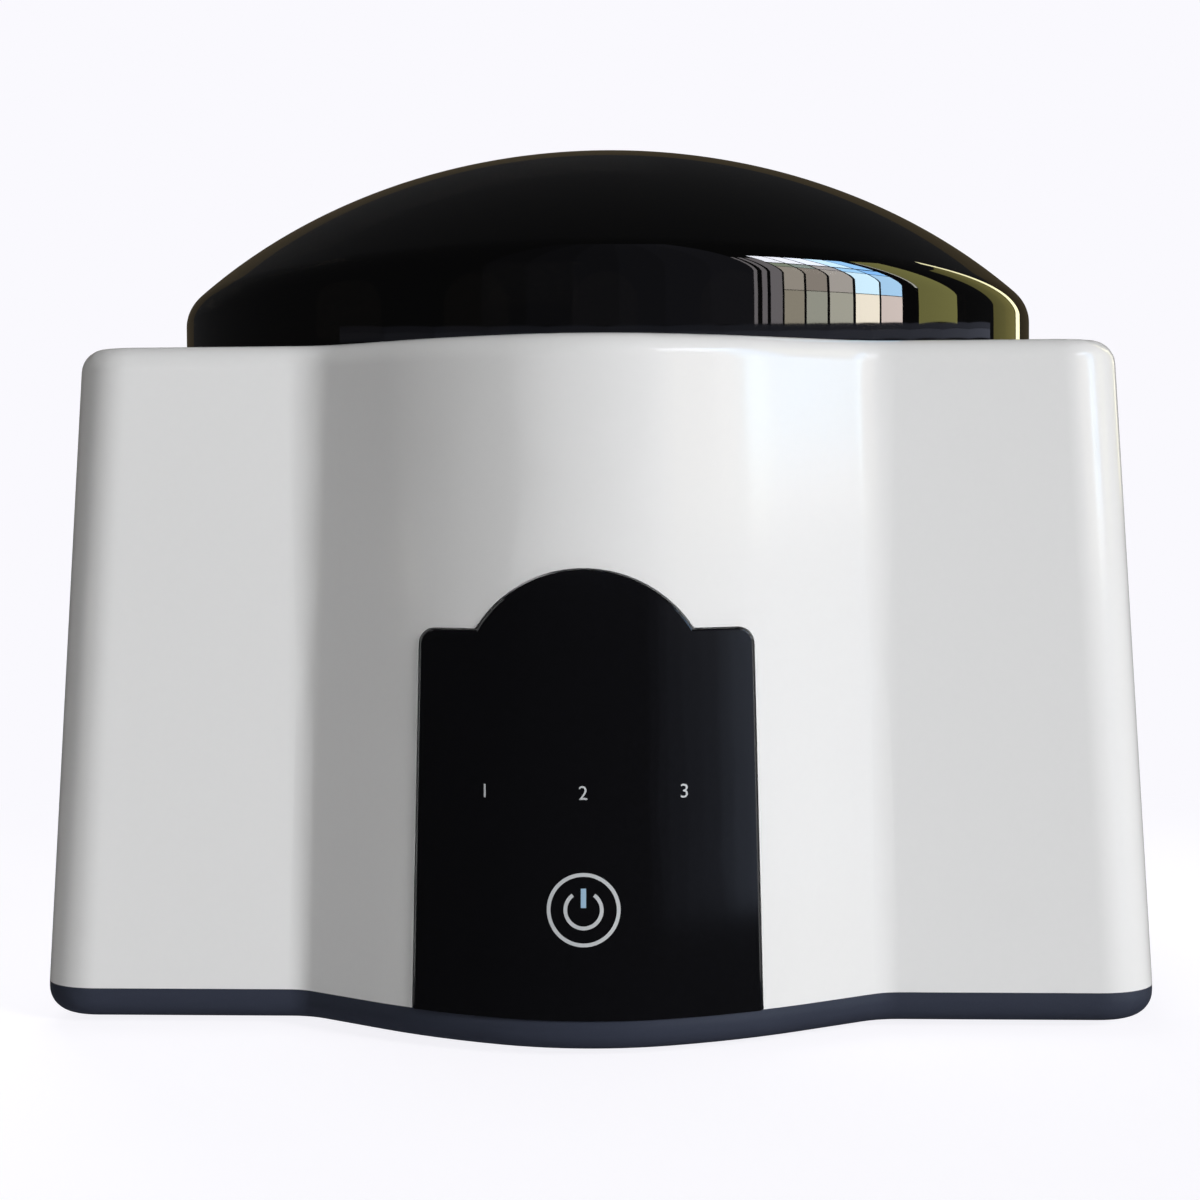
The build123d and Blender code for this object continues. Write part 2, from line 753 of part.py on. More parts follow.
# Smoked hood: one moulded wall, open at the rear, with a boss inside each side
with BuildPart() as hood:
    add(hood_form(0, deck_z + hood_gap))
    add(hood_form(hood_wall, deck_z + hood_gap), mode=Mode.SUBTRACT)
    split(bisect_by=Plane.XZ.offset(-rim_y), keep=Keep.TOP)
    for side in (1, -1):
        with BuildSketch(Plane.YZ.offset(side * boss_inner_x)):
            with Locations((pivot_y, pivot_z)):
                Circle(boss_radius)
        extrude(amount=side * (hood_half_width - hood_wall + boss_root - boss_inner_x))
    # lower rear corners rounded about the pivot, so that they clear the deck in the swing
    with BuildSketch(Plane.YZ) as corner:
        with Locations((pivot_y, pivot_z)):
            Rectangle(reach_out, reach_out, align=(Align.MIN, Align.MAX))
            Circle(rim_y - pivot_y, mode=Mode.SUBTRACT)
    extrude(amount=body_width, both=True, mode=Mode.SUBTRACT)
    for side in (1, -1):
        with BuildSketch(Plane.YZ.offset(side * boss_inner_x)):
            with Locations((pivot_y, pivot_z)):
                Circle(pin_radius + pin_running_gap)
        extrude(amount=side * boss_bore_depth, mode=Mode.SUBTRACT)
hood.part.label = "hood"


# Gate with five arched finger openings; its top follows the inside of the hood
with BuildPart() as finger_gate:
    add(hood_form(hood_wall + gate_clearance, deck_z))
    with BuildSketch(Plane.XZ.offset(-gate_rear_y)):
        Rectangle(2 * gate_end_x, reach_out)
    extrude(amount=gate_thickness, mode=Mode.INTERSECT)
    for x in finger_xs:
        extrude(finger_arch(0, x, gate_rear_y), amount=gate_thickness, mode=Mode.SUBTRACT)
        groove = finger_arch(-seal_groove, x, seal_y + seal_play)
        extrude(groove, amount=seal_thickness + 2 * seal_play, mode=Mode.SUBTRACT)
    for side in (1, -1):
        with BuildSketch(Plane.YZ.offset(side * gate_end_x)):
            with Locations((pivot_y, pivot_z)):
                Circle(pin_radius)
        extrude(amount=-side * pin_in_gate, mode=Mode.SUBTRACT)
    with BuildSketch(Plane.XY.offset(deck_z)):
        with Locations(*[(x, pivot_y) for x in gate_screw_xs]):
            Circle(pilot_radius)
    extrude(amount=gate_pilot_depth, mode=Mode.SUBTRACT)
finger_gate.part.label = "finger_gate"

with BuildPart() as finger_seals:
    for x in finger_xs:
        extrude(finger_arch(2 * seal_play - seal_groove, x, seal_y), amount=seal_thickness)
        extrude(finger_arch(seal_lip, x, seal_y), amount=seal_thickness, mode=Mode.SUBTRACT)
finger_seals.part.label = "finger_seals"

with BuildPart() as hinge_pins:
    for side in (1, -1):
        with BuildSketch(Plane.YZ.offset(side * (gate_end_x - pin_in_gate))):
            with Locations((pivot_y, pivot_z)):
                Circle(pin_radius)
        extrude(amount=side * pin_length)
    chamfer(hinge_pins.edges().filter_by(lambda e: abs((e @ 0).X) > gate_end_x + 1), pin_chamfer)
hinge_pins.part.label = "hinge_pins"


# Black deck, flush with the shell's top: a well for the dish, a skirt below it, screw bosses
with BuildPart() as deck:
    extrude(deck_outline(0, deck_z), amount=-deck_thickness)
    skirt_z = plate_top_z + seal_height
    skirt_height = deck_z - deck_thickness / 2 - skirt_z
    extrude(dish_outline(well_gap + well_wall, skirt_z), amount=skirt_height)
    with BuildSketch(Plane.XY.offset(skirt_z)):
        with Locations(*plate_screws_at):
            Circle(screw_radius + plate_boss_wall)
    extrude(amount=skirt_height)
    extrude(dish_outline(well_gap, skirt_z), amount=deck_z, mode=Mode.SUBTRACT)
    with BuildSketch(Plane.XY.offset(skirt_z)):
        with Locations(*plate_screws_at):
            Circle(pilot_radius)
    extrude(amount=plate_pilot_depth, mode=Mode.SUBTRACT)
    add(gasket_ring(gasket_play, deck_z - gasket_groove, gasket_groove * 2), mode=Mode.SUBTRACT)
    with Locations(*[(x, y, deck_z) for x, y in deck_screws_at]):
        CounterSinkHole(
            radius=through_radius,
            counter_sink_radius=screw_head_radius,
            depth=deck_thickness * 2,
        )
    with BuildSketch(Plane.XY.offset(deck_z)):
        with Locations(*[(x, pivot_y) for x in gate_screw_xs]):
            Circle(through_radius)
    extrude(amount=-deck_thickness, mode=Mode.SUBTRACT)
deck.part.label = "deck"

with BuildPart() as hood_gasket:
    add(gasket_ring(0, deck_z - gasket_groove, gasket_groove + gasket_proud))
hood_gasket.part.label = "hood_gasket"


# Lift-out water dish, and the slotted vapour grille that lies on its flange
with BuildPart() as dish_hollow:
    extrude(dish_outline(-dish_wall, dish_bottom_z + dish_wall), amount=dish_depth * 2)
    fillet(dish_hollow.faces().sort_by(Axis.Z)[0].edges(), dish_foot_radius - dish_wall)

with BuildPart() as steam_dish:
    extrude(dish_outline(0, dish_bottom_z), amount=dish_depth + dish_lift_gap + dish_wall)
    fillet(steam_dish.faces().sort_by(Axis.Z)[0].edges(), dish_foot_radius)
    extrude(dish_outline(dish_flange, deck_z + dish_lift_gap), amount=dish_wall)
    add(dish_hollow.part, mode=Mode.SUBTRACT)
steam_dish.part.label = "steam_dish"

with BuildPart() as dish_grille:
    extrude(dish_outline(dish_flange - 0.8, grille_z), amount=grille_thickness)
    chamfer(dish_grille.faces().sort_by(Axis.Z)[-1].edges(), grille_chamfer)
    extrude(dish_outline(-dish_wall - fit_gap, grille_z), amount=-grille_spigot)
    extrude(
        dish_outline(-2 * dish_wall - fit_gap, grille_z),
        amount=-grille_spigot,
        mode=Mode.SUBTRACT,
    )
    with BuildSketch(Plane.XY.offset(grille_z)):
        for i in range(grille_slot_count):
            x = (i - (grille_slot_count - 1) / 2) * grille_slot_pitch
            reach = dish_reach * sqrt(1 - (x / dish_half_width) ** 2)
            length = min(grille_slot_length, reach - grille_slot_margin)
            with Locations((x, dish_back_y - grille_slot_margin / 2 - length / 2)):
                SlotOverall(length, grille_slot_width, rotation=90)
    extrude(amount=grille_thickness, mode=Mode.SUBTRACT)
dish_grille.part.label = "dish_grille"


# Heater below the well: seal, plate, heating element, insulation and a strap that clamps them
with BuildPart() as well_seal:
    extrude(dish_outline(well_gap + well_wall - fit_gap, plate_top_z), amount=seal_height)
    extrude(dish_outline(well_gap + fit_gap, plate_top_z), amount=seal_height, mode=Mode.SUBTRACT)
well_seal.part.label = "well_seal"

with BuildPart() as heater_plate:
    extrude(dish_outline(well_gap + well_wall, plate_z), amount=plate_thickness)
    with BuildSketch(Plane.XY.offset(plate_z)):
        with Locations(*plate_screws_at):
            Circle(plate_ear)
    extrude(amount=plate_thickness)
    chamfer(heater_plate.faces().sort_by(Axis.Z)[0].edges(), plate_chamfer)
    with BuildSketch(Plane.XY.offset(plate_z)):
        with Locations(*plate_screws_at):
            Circle(through_radius)
    extrude(amount=plate_thickness, mode=Mode.SUBTRACT)
    with BuildSketch(Plane.XY.offset(plate_z)):
        with Locations(*clamp_screws_at):
            Circle(pilot_radius)
    extrude(amount=plate_thickness - plate_pilot_floor, mode=Mode.SUBTRACT)
heater_plate.part.label = "heater_plate"

with BuildPart() as ptc_heater:
    with BuildSketch(Plane.XY.offset(plate_z)):
        with Locations((0, heater_y)):
            RectangleRounded(ptc_length, ptc_width, ptc_corner)
    extrude(amount=-ptc_height)
    with BuildSketch(Plane.XY.offset(plate_z - ptc_height / 2)):
        with Locations((-tab_x, tab_y), (tab_x, tab_y)):
            Rectangle(tab_width, tab_length)
    extrude(amount=-tab_thickness)
ptc_heater.part.label = "ptc_heater"

with BuildPart() as heater_insulation:
    with BuildSketch(Plane.XY.offset(plate_z - ptc_height)):
        with Locations((0, heater_y)):
            RectangleRounded(
                ptc_length - 2 * insulation_inset, ptc_width - 2 * insulation_inset, ptc_corner
            )
    extrude(amount=-insulation_thickness)
heater_insulation.part.label = "heater_insulation"

# The strap's side view: a hat with its two feet screwed to the plate
with BuildPart() as heater_clamp:
    drop = ptc_height + insulation_thickness
    with BuildSketch(Plane.XZ.offset(-heater_y - clamp_width / 2)) as hat:
        with Locations((0, plate_z)):
            hung = (Align.CENTER, Align.MAX)
            Rectangle(clamp_span + 2 * clamp_thickness, drop + clamp_thickness, align=hung)
            Rectangle(clamp_span + 2 * clamp_foot, clamp_thickness, align=hung)
            Rectangle(clamp_span, drop, align=hung, mode=Mode.SUBTRACT)
        fillet(hat.vertices().group_by(Axis.Y)[0], clamp_thickness)
    extrude(amount=clamp_width)
    with BuildSketch(Plane.XY.offset(plate_z)):
        with Locations(*clamp_screws_at):
            Circle(through_radius)
    extrude(amount=-clamp_thickness, mode=Mode.SUBTRACT)
heater_clamp.part.label = "heater_clamp"

with BuildPart() as thermal_fuse:
    with BuildSketch(Plane.YZ.offset(-fuse_length / 2)):
        with Locations((fuse_y, plate_z - fuse_radius)):
            Circle(fuse_radius)
    extrude(amount=fuse_length)
    chamfer(thermal_fuse.edges(), fuse_chamfer)
    with BuildSketch(Plane.YZ.offset(-fuse_length / 2 - fuse_lead_length)):
        with Locations((fuse_y, plate_z - fuse_radius)):
            Circle(fuse_lead_radius)
    extrude(amount=fuse_length + 2 * fuse_lead_length)
thermal_fuse.part.label = "thermal_fuse"

with BuildPart() as temperature_sensor:
    with BuildSketch(Plane.XY.offset(plate_z)):
        with Locations(sensor_at):
            SlotOverall(sensor_length, sensor_width)
    extrude(amount=-sensor_pad)
    with BuildSketch(Plane.XY.offset(plate_z - sensor_pad)):
        with Locations(sensor_at):
            Circle(sensor_bead_radius)
    extrude(amount=-sensor_bead_height)
    chamfer(temperature_sensor.faces().sort_by(Axis.Z)[0].edges(), sensor_bead_chamfer)
temperature_sensor.part.label = "temperature_sensor"


# Touch board behind the panel, its lamps, the light box and the key's foam pillar
with BuildPart() as touch_board:
    with BuildSketch(Plane.XZ.offset(-touch_board_y - board_thickness)):
        with Locations((0, shell_z + touch_board_rise + touch_board_height / 2)):
            RectangleRounded(touch_board_width, touch_board_height, touch_board_corner)
        with Locations(*touch_screws_at):
            Circle(through_radius, mode=Mode.SUBTRACT)
    extrude(amount=board_thickness)
touch_board.part.label = "touch_board"

with BuildPart() as indicator_leds:
    with BuildSketch(Plane.XZ.offset(-touch_board_y)):
        with Locations((0, mark_z)):
            with GridLocations(mark_pitch, 1, 3, 1):
                Rectangle(lamp_width, lamp_height)
    extrude(amount=lamp_depth)
indicator_leds.part.label = "indicator_leds"

with BuildPart() as light_box:
    with BuildSketch(Plane.XZ.offset(-touch_board_y)):
        with Locations((0, mark_z)):
            Rectangle(light_box_width, light_box_height)
            with GridLocations(mark_pitch, 1, 3, 1):
                RectangleRounded(light_cell, light_cell_height, light_cell_corner, mode=Mode.SUBTRACT)
    extrude(amount=bulge_reach)
    add(body_block(panel_seat, shell_z, shell_height), mode=Mode.INTERSECT)
light_box.part.label = "light_box"

with BuildPart() as touch_foam:
    with BuildSketch(Plane.XZ.offset(-touch_board_y)):
        with Locations((0, ring_z)):
            Circle(foam_radius)
    extrude(amount=bulge_reach)
    add(body_block(panel_seat, shell_z, shell_height), mode=Mode.INTERSECT)
touch_foam.part.label = "touch_foam"


# Main board on the tray's posts, with what stands on it
with BuildPart() as main_board:
    with BuildSketch(Plane.XY.offset(board_z)):
        with Locations((0, board_y)):
            RectangleRounded(board_width, board_depth, board_corner)
        with Locations(*board_posts_at):
            Circle(through_radius, mode=Mode.SUBTRACT)
    extrude(amount=board_thickness)
main_board.part.label = "main_board"

with BuildPart() as board_capacitors:
    for x, y, radius, height in capacitors:
        with Locations((x, y, board_top_z)):
            Cylinder(radius, height, align=(Align.CENTER, Align.CENTER, Align.MIN))
        top = (x, y, board_top_z + height + radius)
        chamfer(board_capacitors.edges().sort_by_distance(top)[0], capacitor_chamfer)
board_capacitors.part.label = "board_capacitors"

with BuildPart() as power_inductor:
    with BuildSketch(Plane.XY.offset(board_top_z)):
        with Locations(inductor_at):
            Circle(inductor_radius)
            Circle(inductor_hole_radius, mode=Mode.SUBTRACT)
    extrude(amount=inductor_height)
    chamfer(power_inductor.edges().group_by(Axis.Z)[-1], inductor_chamfer)
power_inductor.part.label = "power_inductor"

with BuildPart() as heat_sink:
    with BuildSketch(Plane.XY.offset(board_top_z)):
        with Locations(heat_sink_at):
            Rectangle(sink_plate_thickness, sink_plate_width)
            with GridLocations(1, fin_pitch, 1, fin_count):
                Rectangle(fin_length, fin_thickness, align=(Align.MIN, Align.CENTER))
    extrude(amount=sink_height)
heat_sink.part.label = "heat_sink"

with BuildPart() as power_transistor:
    with BuildSketch(Plane.XY.offset(board_top_z)):
        with Locations((heat_sink_at[0] - sink_plate_thickness / 2, heat_sink_at[1])):
            Rectangle(transistor_thickness, transistor_width, align=(Align.MAX, Align.CENTER))
    extrude(amount=transistor_height)
    chamfer(power_transistor.edges().group_by(Axis.Z)[-1], transistor_chamfer)
power_transistor.part.label = "power_transistor"

with BuildPart() as buzzer:
    with BuildSketch(Plane.XY.offset(board_top_z)):
        with Locations(buzzer_at):
            Circle(buzzer_radius)
    extrude(amount=buzzer_height)
    chamfer(buzzer.edges().group_by(Axis.Z)[-1], buzzer_chamfer)
    with BuildSketch(Plane.XY.offset(board_top_z + buzzer_height)):
        with Locations(buzzer_at):
            Circle(buzzer_hole_radius)
    extrude(amount=-buzzer_hole_depth, mode=Mode.SUBTRACT)
buzzer.part.label = "buzzer"

with BuildPart() as board_connectors:
    with BuildSketch(Plane.XY.offset(board_top_z)):
        with Locations(*connectors_at):
            Rectangle(connector_width, connector_depth)
    extrude(amount=connector_height)
    with BuildSketch(Plane.XZ.offset(-touch_board_y - board_thickness)):
        with Locations((0, panel_plug_z)):
            Rectangle(connector_width, connector_depth)
    extrude(amount=-connector_height)
board_connectors.part.label = "board_connectors"


# Inlet in the rear wall, its nut inside, and the leads to the main board
with BuildPart() as dc_jack:
    with BuildSketch(Plane.XZ.offset(-jack_seat_y)):
        with Locations((jack_x, jack_z)):
            Circle(jack_flange_radius)
    extrude(amount=-(jack_recess - jack_lip))
    chamfer(dc_jack.edges().group_by(Axis.Y)[-1], jack_flange_chamfer)
    with BuildSketch(Plane.XZ.offset(-jack_seat_y)):
        with Locations((jack_x, jack_z)):
            Circle(jack_nose_radius)
    extrude(amount=jack_barrel)
    with BuildSketch(Plane.XZ.offset(-jack_seat_y - jack_recess)):
        with Locations((jack_x, jack_z)):
            Circle(jack_bore_radius)
            Circle(jack_pin_radius, mode=Mode.SUBTRACT)
    extrude(amount=jack_barrel + jack_recess - jack_floor, mode=Mode.SUBTRACT)
dc_jack.part.label = "dc_jack"

with BuildPart() as jack_nut:
    with BuildSketch(Plane.XZ.offset(-jack_inner_y)):
        with Locations((jack_x, jack_z)):
            RegularPolygon(jack_nut_across / 2, 6, major_radius=False)
            Circle(jack_nose_radius + screw_pilot_gap, mode=Mode.SUBTRACT)
    extrude(amount=jack_nut_thickness)
jack_nut.part.label = "jack_nut"

plug_top_z = board_top_z + connector_height
plug_middle_z = board_top_z + connector_height / 2
tab_under_z = plate_z - ptc_height / 2 - tab_thickness
heater_plug_x, heater_plug_y = connectors_at[1]
jack_plug_x, jack_plug_y = connectors_at[2]

with BuildPart() as heater_leads:
    right_end = heater_plug_x + lead_diameter
    left_end = heater_plug_x - lead_diameter
    add(lead_along([
        (tab_x, tab_y, tab_under_z),
        (tab_x, tab_y, tab_under_z - 24),
        (tab_x + 6, tab_y + 5, tab_under_z - 52),
        (right_end, heater_plug_y, plug_top_z + 18),
        (right_end, heater_plug_y, plug_top_z),
    ], lead_diameter))
    add(lead_along([
        (-tab_x, tab_y, tab_under_z),
        (-tab_x, tab_y, tab_under_z - 18),
        (-tab_x + 14, tab_y + 3, tab_under_z - 46),
        (left_end - 14, heater_plug_y - 5, plug_top_z + 32),
        (left_end, heater_plug_y, plug_top_z + 14),
        (left_end, heater_plug_y, plug_top_z),
    ], lead_diameter))
heater_leads.part.label = "heater_leads"

with BuildPart() as panel_cable:
    add(lead_along([
        (0, plug_y, panel_plug_z),
        (0, plug_y + cable_straight, panel_plug_z),
        (cable_sway, plug_y + cable_fall, board_z + cable_sag),
        (0, plug_y + cable_rest, board_z - cable_sag),
        (0, connectors_at[0][1] - cable_straight, plug_middle_z),
        (0, connectors_at[0][1] - connector_depth / 2, plug_middle_z),
    ], lead_diameter))
panel_cable.part.label = "panel_cable"

with BuildPart() as jack_leads:
    for step in (-1, 1):
        rise = step * (lead_diameter + lead_gap) / 2
        plug_side = (jack_plug_x + connector_width / 2, jack_plug_y, plug_middle_z + rise)
        add(lead_along([
            (jack_x, jack_rear_y, jack_z + rise),
            (jack_x, jack_rear_y - 9, jack_z + rise),
            (plug_side[0] + 9, jack_plug_y, plug_side[2]),
            plug_side,
        ], lead_diameter))
jack_leads.part.label = "jack_leads"


# Screws, one group for each place they are used
upward = (0, 0, 0)
downward = (180, 0, 0)
frontward = (90, 0, 0)

with BuildPart() as deck_screws:
    hung = (Align.CENTER, Align.CENTER, Align.MAX)
    deck_screw_length = deck_thickness + deck_boss_height - pilot_floor - screw_end_gap
    cone_depth = (screw_head_radius - screw_head_play - screw_radius) / tan(radians(sink_angle / 2))
    for x, y in deck_screws_at:
        with Locations((x, y, deck_z - screw_head_sunk)):
            Cone(screw_radius, screw_head_radius - screw_head_play, cone_depth, align=hung)
            Cylinder(screw_radius, deck_screw_length, align=hung)
deck_screws.part.label = "deck_screws"

with BuildPart() as gate_screws:
    with Locations(*[Location((x, pivot_y, deck_z - deck_thickness), upward) for x in gate_screw_xs]):
        add(screw(deck_thickness + gate_pilot_depth - screw_end_gap))
gate_screws.part.label = "gate_screws"

with BuildPart() as plate_screws:
    with Locations(*[Location((x, y, plate_z), upward) for x, y in plate_screws_at]):
        add(screw(plate_thickness + seal_height + plate_pilot_depth - screw_end_gap))
plate_screws.part.label = "plate_screws"

with BuildPart() as clamp_screws:
    with Locations(*[Location((x, y, plate_z - clamp_thickness), upward) for x, y in clamp_screws_at]):
        add(screw(clamp_thickness + plate_thickness - plate_pilot_floor - screw_pilot_gap))
clamp_screws.part.label = "clamp_screws"

with BuildPart() as base_screws:
    with Locations(*[Location((x, y, tray_z + screw_head_sink), upward) for x, y in base_screws_at]):
        add(screw(base_boss_z - tray_z - screw_head_sink + base_pilot_depth - screw_end_gap))
base_screws.part.label = "base_screws"

with BuildPart() as board_screws:
    with Locations(*[Location((x, y, board_top_z), downward) for x, y in board_posts_at]):
        add(screw(board_thickness + board_rise - pilot_floor - screw_end_gap))
board_screws.part.label = "board_screws"

with BuildPart() as touch_screws:
    seat = touch_board_y + board_thickness
    with Locations(*[Location((x, seat, z), frontward) for x, z in touch_screws_at]):
        add(screw(board_thickness + touch_pilot_depth - screw_end_gap))
touch_screws.part.label = "touch_screws"


os.makedirs("parts", exist_ok=True)
for piece in (
    shell, base_tray, rubber_feet, control_panel, panel_adhesive, hood, finger_gate, finger_seals,
    hinge_pins, deck, hood_gasket, steam_dish, dish_grille, well_seal, heater_plate, ptc_heater,
    heater_insulation, heater_clamp, thermal_fuse, temperature_sensor, touch_board, indicator_leds,
    light_box, touch_foam, main_board, board_capacitors, power_inductor, heat_sink, power_transistor,
    buzzer, board_connectors, dc_jack, jack_nut, heater_leads, panel_cable, jack_leads, deck_screws,
    gate_screws, plate_screws, clamp_screws, base_screws, board_screws, touch_screws,
):
    export_step(piece.part, f"parts/{piece.part.label}.step")
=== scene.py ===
import math

import bmesh
import bpy
from mathutils import Matrix, Vector


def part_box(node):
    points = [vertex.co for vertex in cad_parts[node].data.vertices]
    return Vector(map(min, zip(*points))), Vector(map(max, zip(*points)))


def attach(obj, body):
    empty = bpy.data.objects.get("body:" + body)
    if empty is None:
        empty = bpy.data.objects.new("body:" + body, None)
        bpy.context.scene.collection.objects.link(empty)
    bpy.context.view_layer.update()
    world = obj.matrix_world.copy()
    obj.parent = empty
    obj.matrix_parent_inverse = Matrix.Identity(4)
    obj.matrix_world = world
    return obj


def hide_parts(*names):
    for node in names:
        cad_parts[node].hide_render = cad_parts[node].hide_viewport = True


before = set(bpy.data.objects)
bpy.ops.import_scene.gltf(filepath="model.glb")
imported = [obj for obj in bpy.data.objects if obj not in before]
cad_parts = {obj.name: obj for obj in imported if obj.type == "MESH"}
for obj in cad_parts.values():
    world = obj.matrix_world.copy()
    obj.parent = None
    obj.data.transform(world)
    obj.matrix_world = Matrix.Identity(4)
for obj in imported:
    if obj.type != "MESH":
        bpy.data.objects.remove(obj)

mm = 0.001
# In metres, except the area: what counts as one point, or as nothing
tolerances = {
    "copyMerge": 2e-7, "wallMerge": 2e-6, "bossMerge": 1e-6, "length": 1e-6, "area": 1e-14,
}
scene = bpy.context.scene
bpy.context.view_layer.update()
print("frame loaded:", len(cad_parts), "solids")


# Small helpers that every piece below uses

def linkPiece(name, mesh, material, body, replaced=()):
    piece = bpy.data.objects.new(name, mesh)
    scene.collection.objects.link(piece)
    if material:
        mesh.materials.clear()
        mesh.materials.append(material)
    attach(piece, body)
    if replaced:
        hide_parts(*replaced)
    return piece


# Merges a mesh and shades it smooth, but keeps the edges above an angle sharp
def shadeByAngle(mesh, sharpAngle):
    if "custom_normal" in mesh.attributes:
        mesh.attributes.remove(mesh.attributes["custom_normal"])
    work = bmesh.new()
    work.from_mesh(mesh)
    bmesh.ops.remove_doubles(work, verts=work.verts, dist=tolerances["copyMerge"])
    for face in work.faces:
        face.smooth = True
    limit = math.radians(sharpAngle)
    for edge in work.edges:
        edge.smooth = not edge.is_manifold or edge.calc_face_angle(0) < limit
    work.to_mesh(mesh)
    work.free()


# A copy of a solid, smooth across its curved faces and sharp at its real edges
def smoothCopy(node, name, material, body, sharpAngle=24.0):
    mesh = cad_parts[node].data.copy()
    mesh.name = name
    shadeByAngle(mesh, sharpAngle)
    piece = linkPiece(name, mesh, material, body, (node,))
    shading = piece.modifiers.new("faceWeighted", "WEIGHTED_NORMAL")
    shading.keep_sharp = True
    return piece


def addSocket(group, name, kind, way, value=None):
    socket = group.interface.new_socket(name=name, in_out=way, socket_type=kind)
    if value is not None:
        socket.default_value = value


def shaderGroup(name, inputs, outputs):
    group = bpy.data.node_groups.new(name, "ShaderNodeTree")
    for socketName, kind, value in inputs:
        addSocket(group, socketName, kind, "INPUT", value)
    for socketName, kind in outputs:
        addSocket(group, socketName, kind, "OUTPUT")
    return group, group.nodes.new("NodeGroupInput"), group.nodes.new("NodeGroupOutput")


def mathNode(tree, operation, first, second):
    node = tree.nodes.new("ShaderNodeMath")
    node.operation = operation
    for socket, value in zip(node.inputs, (first, second)):
        if isinstance(value, (int, float)):
            socket.default_value = value
        else:
            tree.links.new(value, socket)
    return node.outputs[0]


def mixColor(tree, factor, first, second):
    node = tree.nodes.new("ShaderNodeMix")
    node.data_type = "RGBA"
    factorSocket, firstSocket, secondSocket = (node.inputs[k] for k in (0, 6, 7))
    for socket, value in ((factorSocket, factor), (firstSocket, first), (secondSocket, second)):
        if isinstance(value, (int, float)):
            socket.default_value = value
        elif isinstance(value, tuple):
            socket.default_value = (*value, 1.0)
        else:
            tree.links.new(value, socket)
    return node.outputs[2]


# Shared effects

# Fine moulded texture: a height for bumps and a slow mottle for colour or roughness
def buildMouldGrain():
    group, given, result = shaderGroup(
        "mouldGrain",
        [("Vector", "NodeSocketVector", None), ("Grain Scale", "NodeSocketFloat", 2500.0),
         ("Mottle Scale", "NodeSocketFloat", 40.0), ("Low", "NodeSocketFloat", 0.0),
         ("High", "NodeSocketFloat", 1.0)],
        [("Height", "NodeSocketFloat"), ("Mottle", "NodeSocketFloat")],
    )
    grain = group.nodes.new("ShaderNodeTexNoise")
    grain.inputs["Detail"].default_value = 4.0
    mottle = group.nodes.new("ShaderNodeTexNoise")
    mottle.inputs["Detail"].default_value = 3.0
    spread = group.nodes.new("ShaderNodeMapRange")
    spread.inputs["From Min"].default_value = 0.3
    spread.inputs["From Max"].default_value = 0.7
    links = group.links
    for noise, scaleName in ((grain, "Grain Scale"), (mottle, "Mottle Scale")):
        links.new(given.outputs["Vector"], noise.inputs["Vector"])
        links.new(given.outputs[scaleName], noise.inputs["Scale"])
    links.new(mottle.outputs["Fac"], spread.inputs["Value"])
    links.new(given.outputs["Low"], spread.inputs["To Min"])
    links.new(given.outputs["High"], spread.inputs["To Max"])
    links.new(grain.outputs["Fac"], result.inputs["Height"])
    links.new(spread.outputs["Result"], result.inputs["Mottle"])
    return group


# Fine lines along X, as rolling and brushing leave on sheet metal
def buildBrushedLines():
    group, given, result = shaderGroup(
        "brushedLines",
        [("Vector", "NodeSocketVector", None), ("Line Scale", "NodeSocketFloat", 1500.0),
         ("Stretch", "NodeSocketFloat", 0.02)],
        [("Height", "NodeSocketFloat"), ("Streak", "NodeSocketFloat")],
    )
    pull = group.nodes.new("ShaderNodeCombineXYZ")
    pull.inputs["Y"].default_value = 1.0
    pull.inputs["Z"].default_value = 1.0
    stretched = group.nodes.new("ShaderNodeVectorMath")
    stretched.operation = "MULTIPLY"
    lines = group.nodes.new("ShaderNodeTexNoise")
    lines.inputs["Detail"].default_value = 5.0
    links = group.links
    links.new(given.outputs["Stretch"], pull.inputs["X"])
    links.new(given.outputs["Vector"], stretched.inputs[0])
    links.new(pull.outputs["Vector"], stretched.inputs[1])
    links.new(stretched.outputs["Vector"], lines.inputs["Vector"])
    links.new(given.outputs["Line Scale"], lines.inputs["Scale"])
    links.new(lines.outputs["Fac"], result.inputs["Height"])
    links.new(lines.outputs["Fac"], result.inputs["Streak"])
    return group


mouldGrain = buildMouldGrain()
brushedLines = buildBrushedLines()


# Lays an effect group in a material, fed with Object coordinates
def placeEffect(tree, group, **values):
    effect = tree.nodes.new("ShaderNodeGroup")
    effect.node_tree = group
    coordinates = tree.nodes.new("ShaderNodeTexCoord")
    tree.links.new(coordinates.outputs["Object"], effect.inputs["Vector"])
    for socketName, value in values.items():
        effect.inputs[socketName.replace("_", " ")].default_value = value
    return effect


def addBump(tree, bsdf, height, strength, distance):
    bump = tree.nodes.new("ShaderNodeBump")
    bump.inputs["Strength"].default_value = strength
    bump.inputs["Distance"].default_value = distance
    tree.links.new(height, bump.inputs["Height"])
    tree.links.new(bump.outputs["Normal"], bsdf.inputs["Normal"])


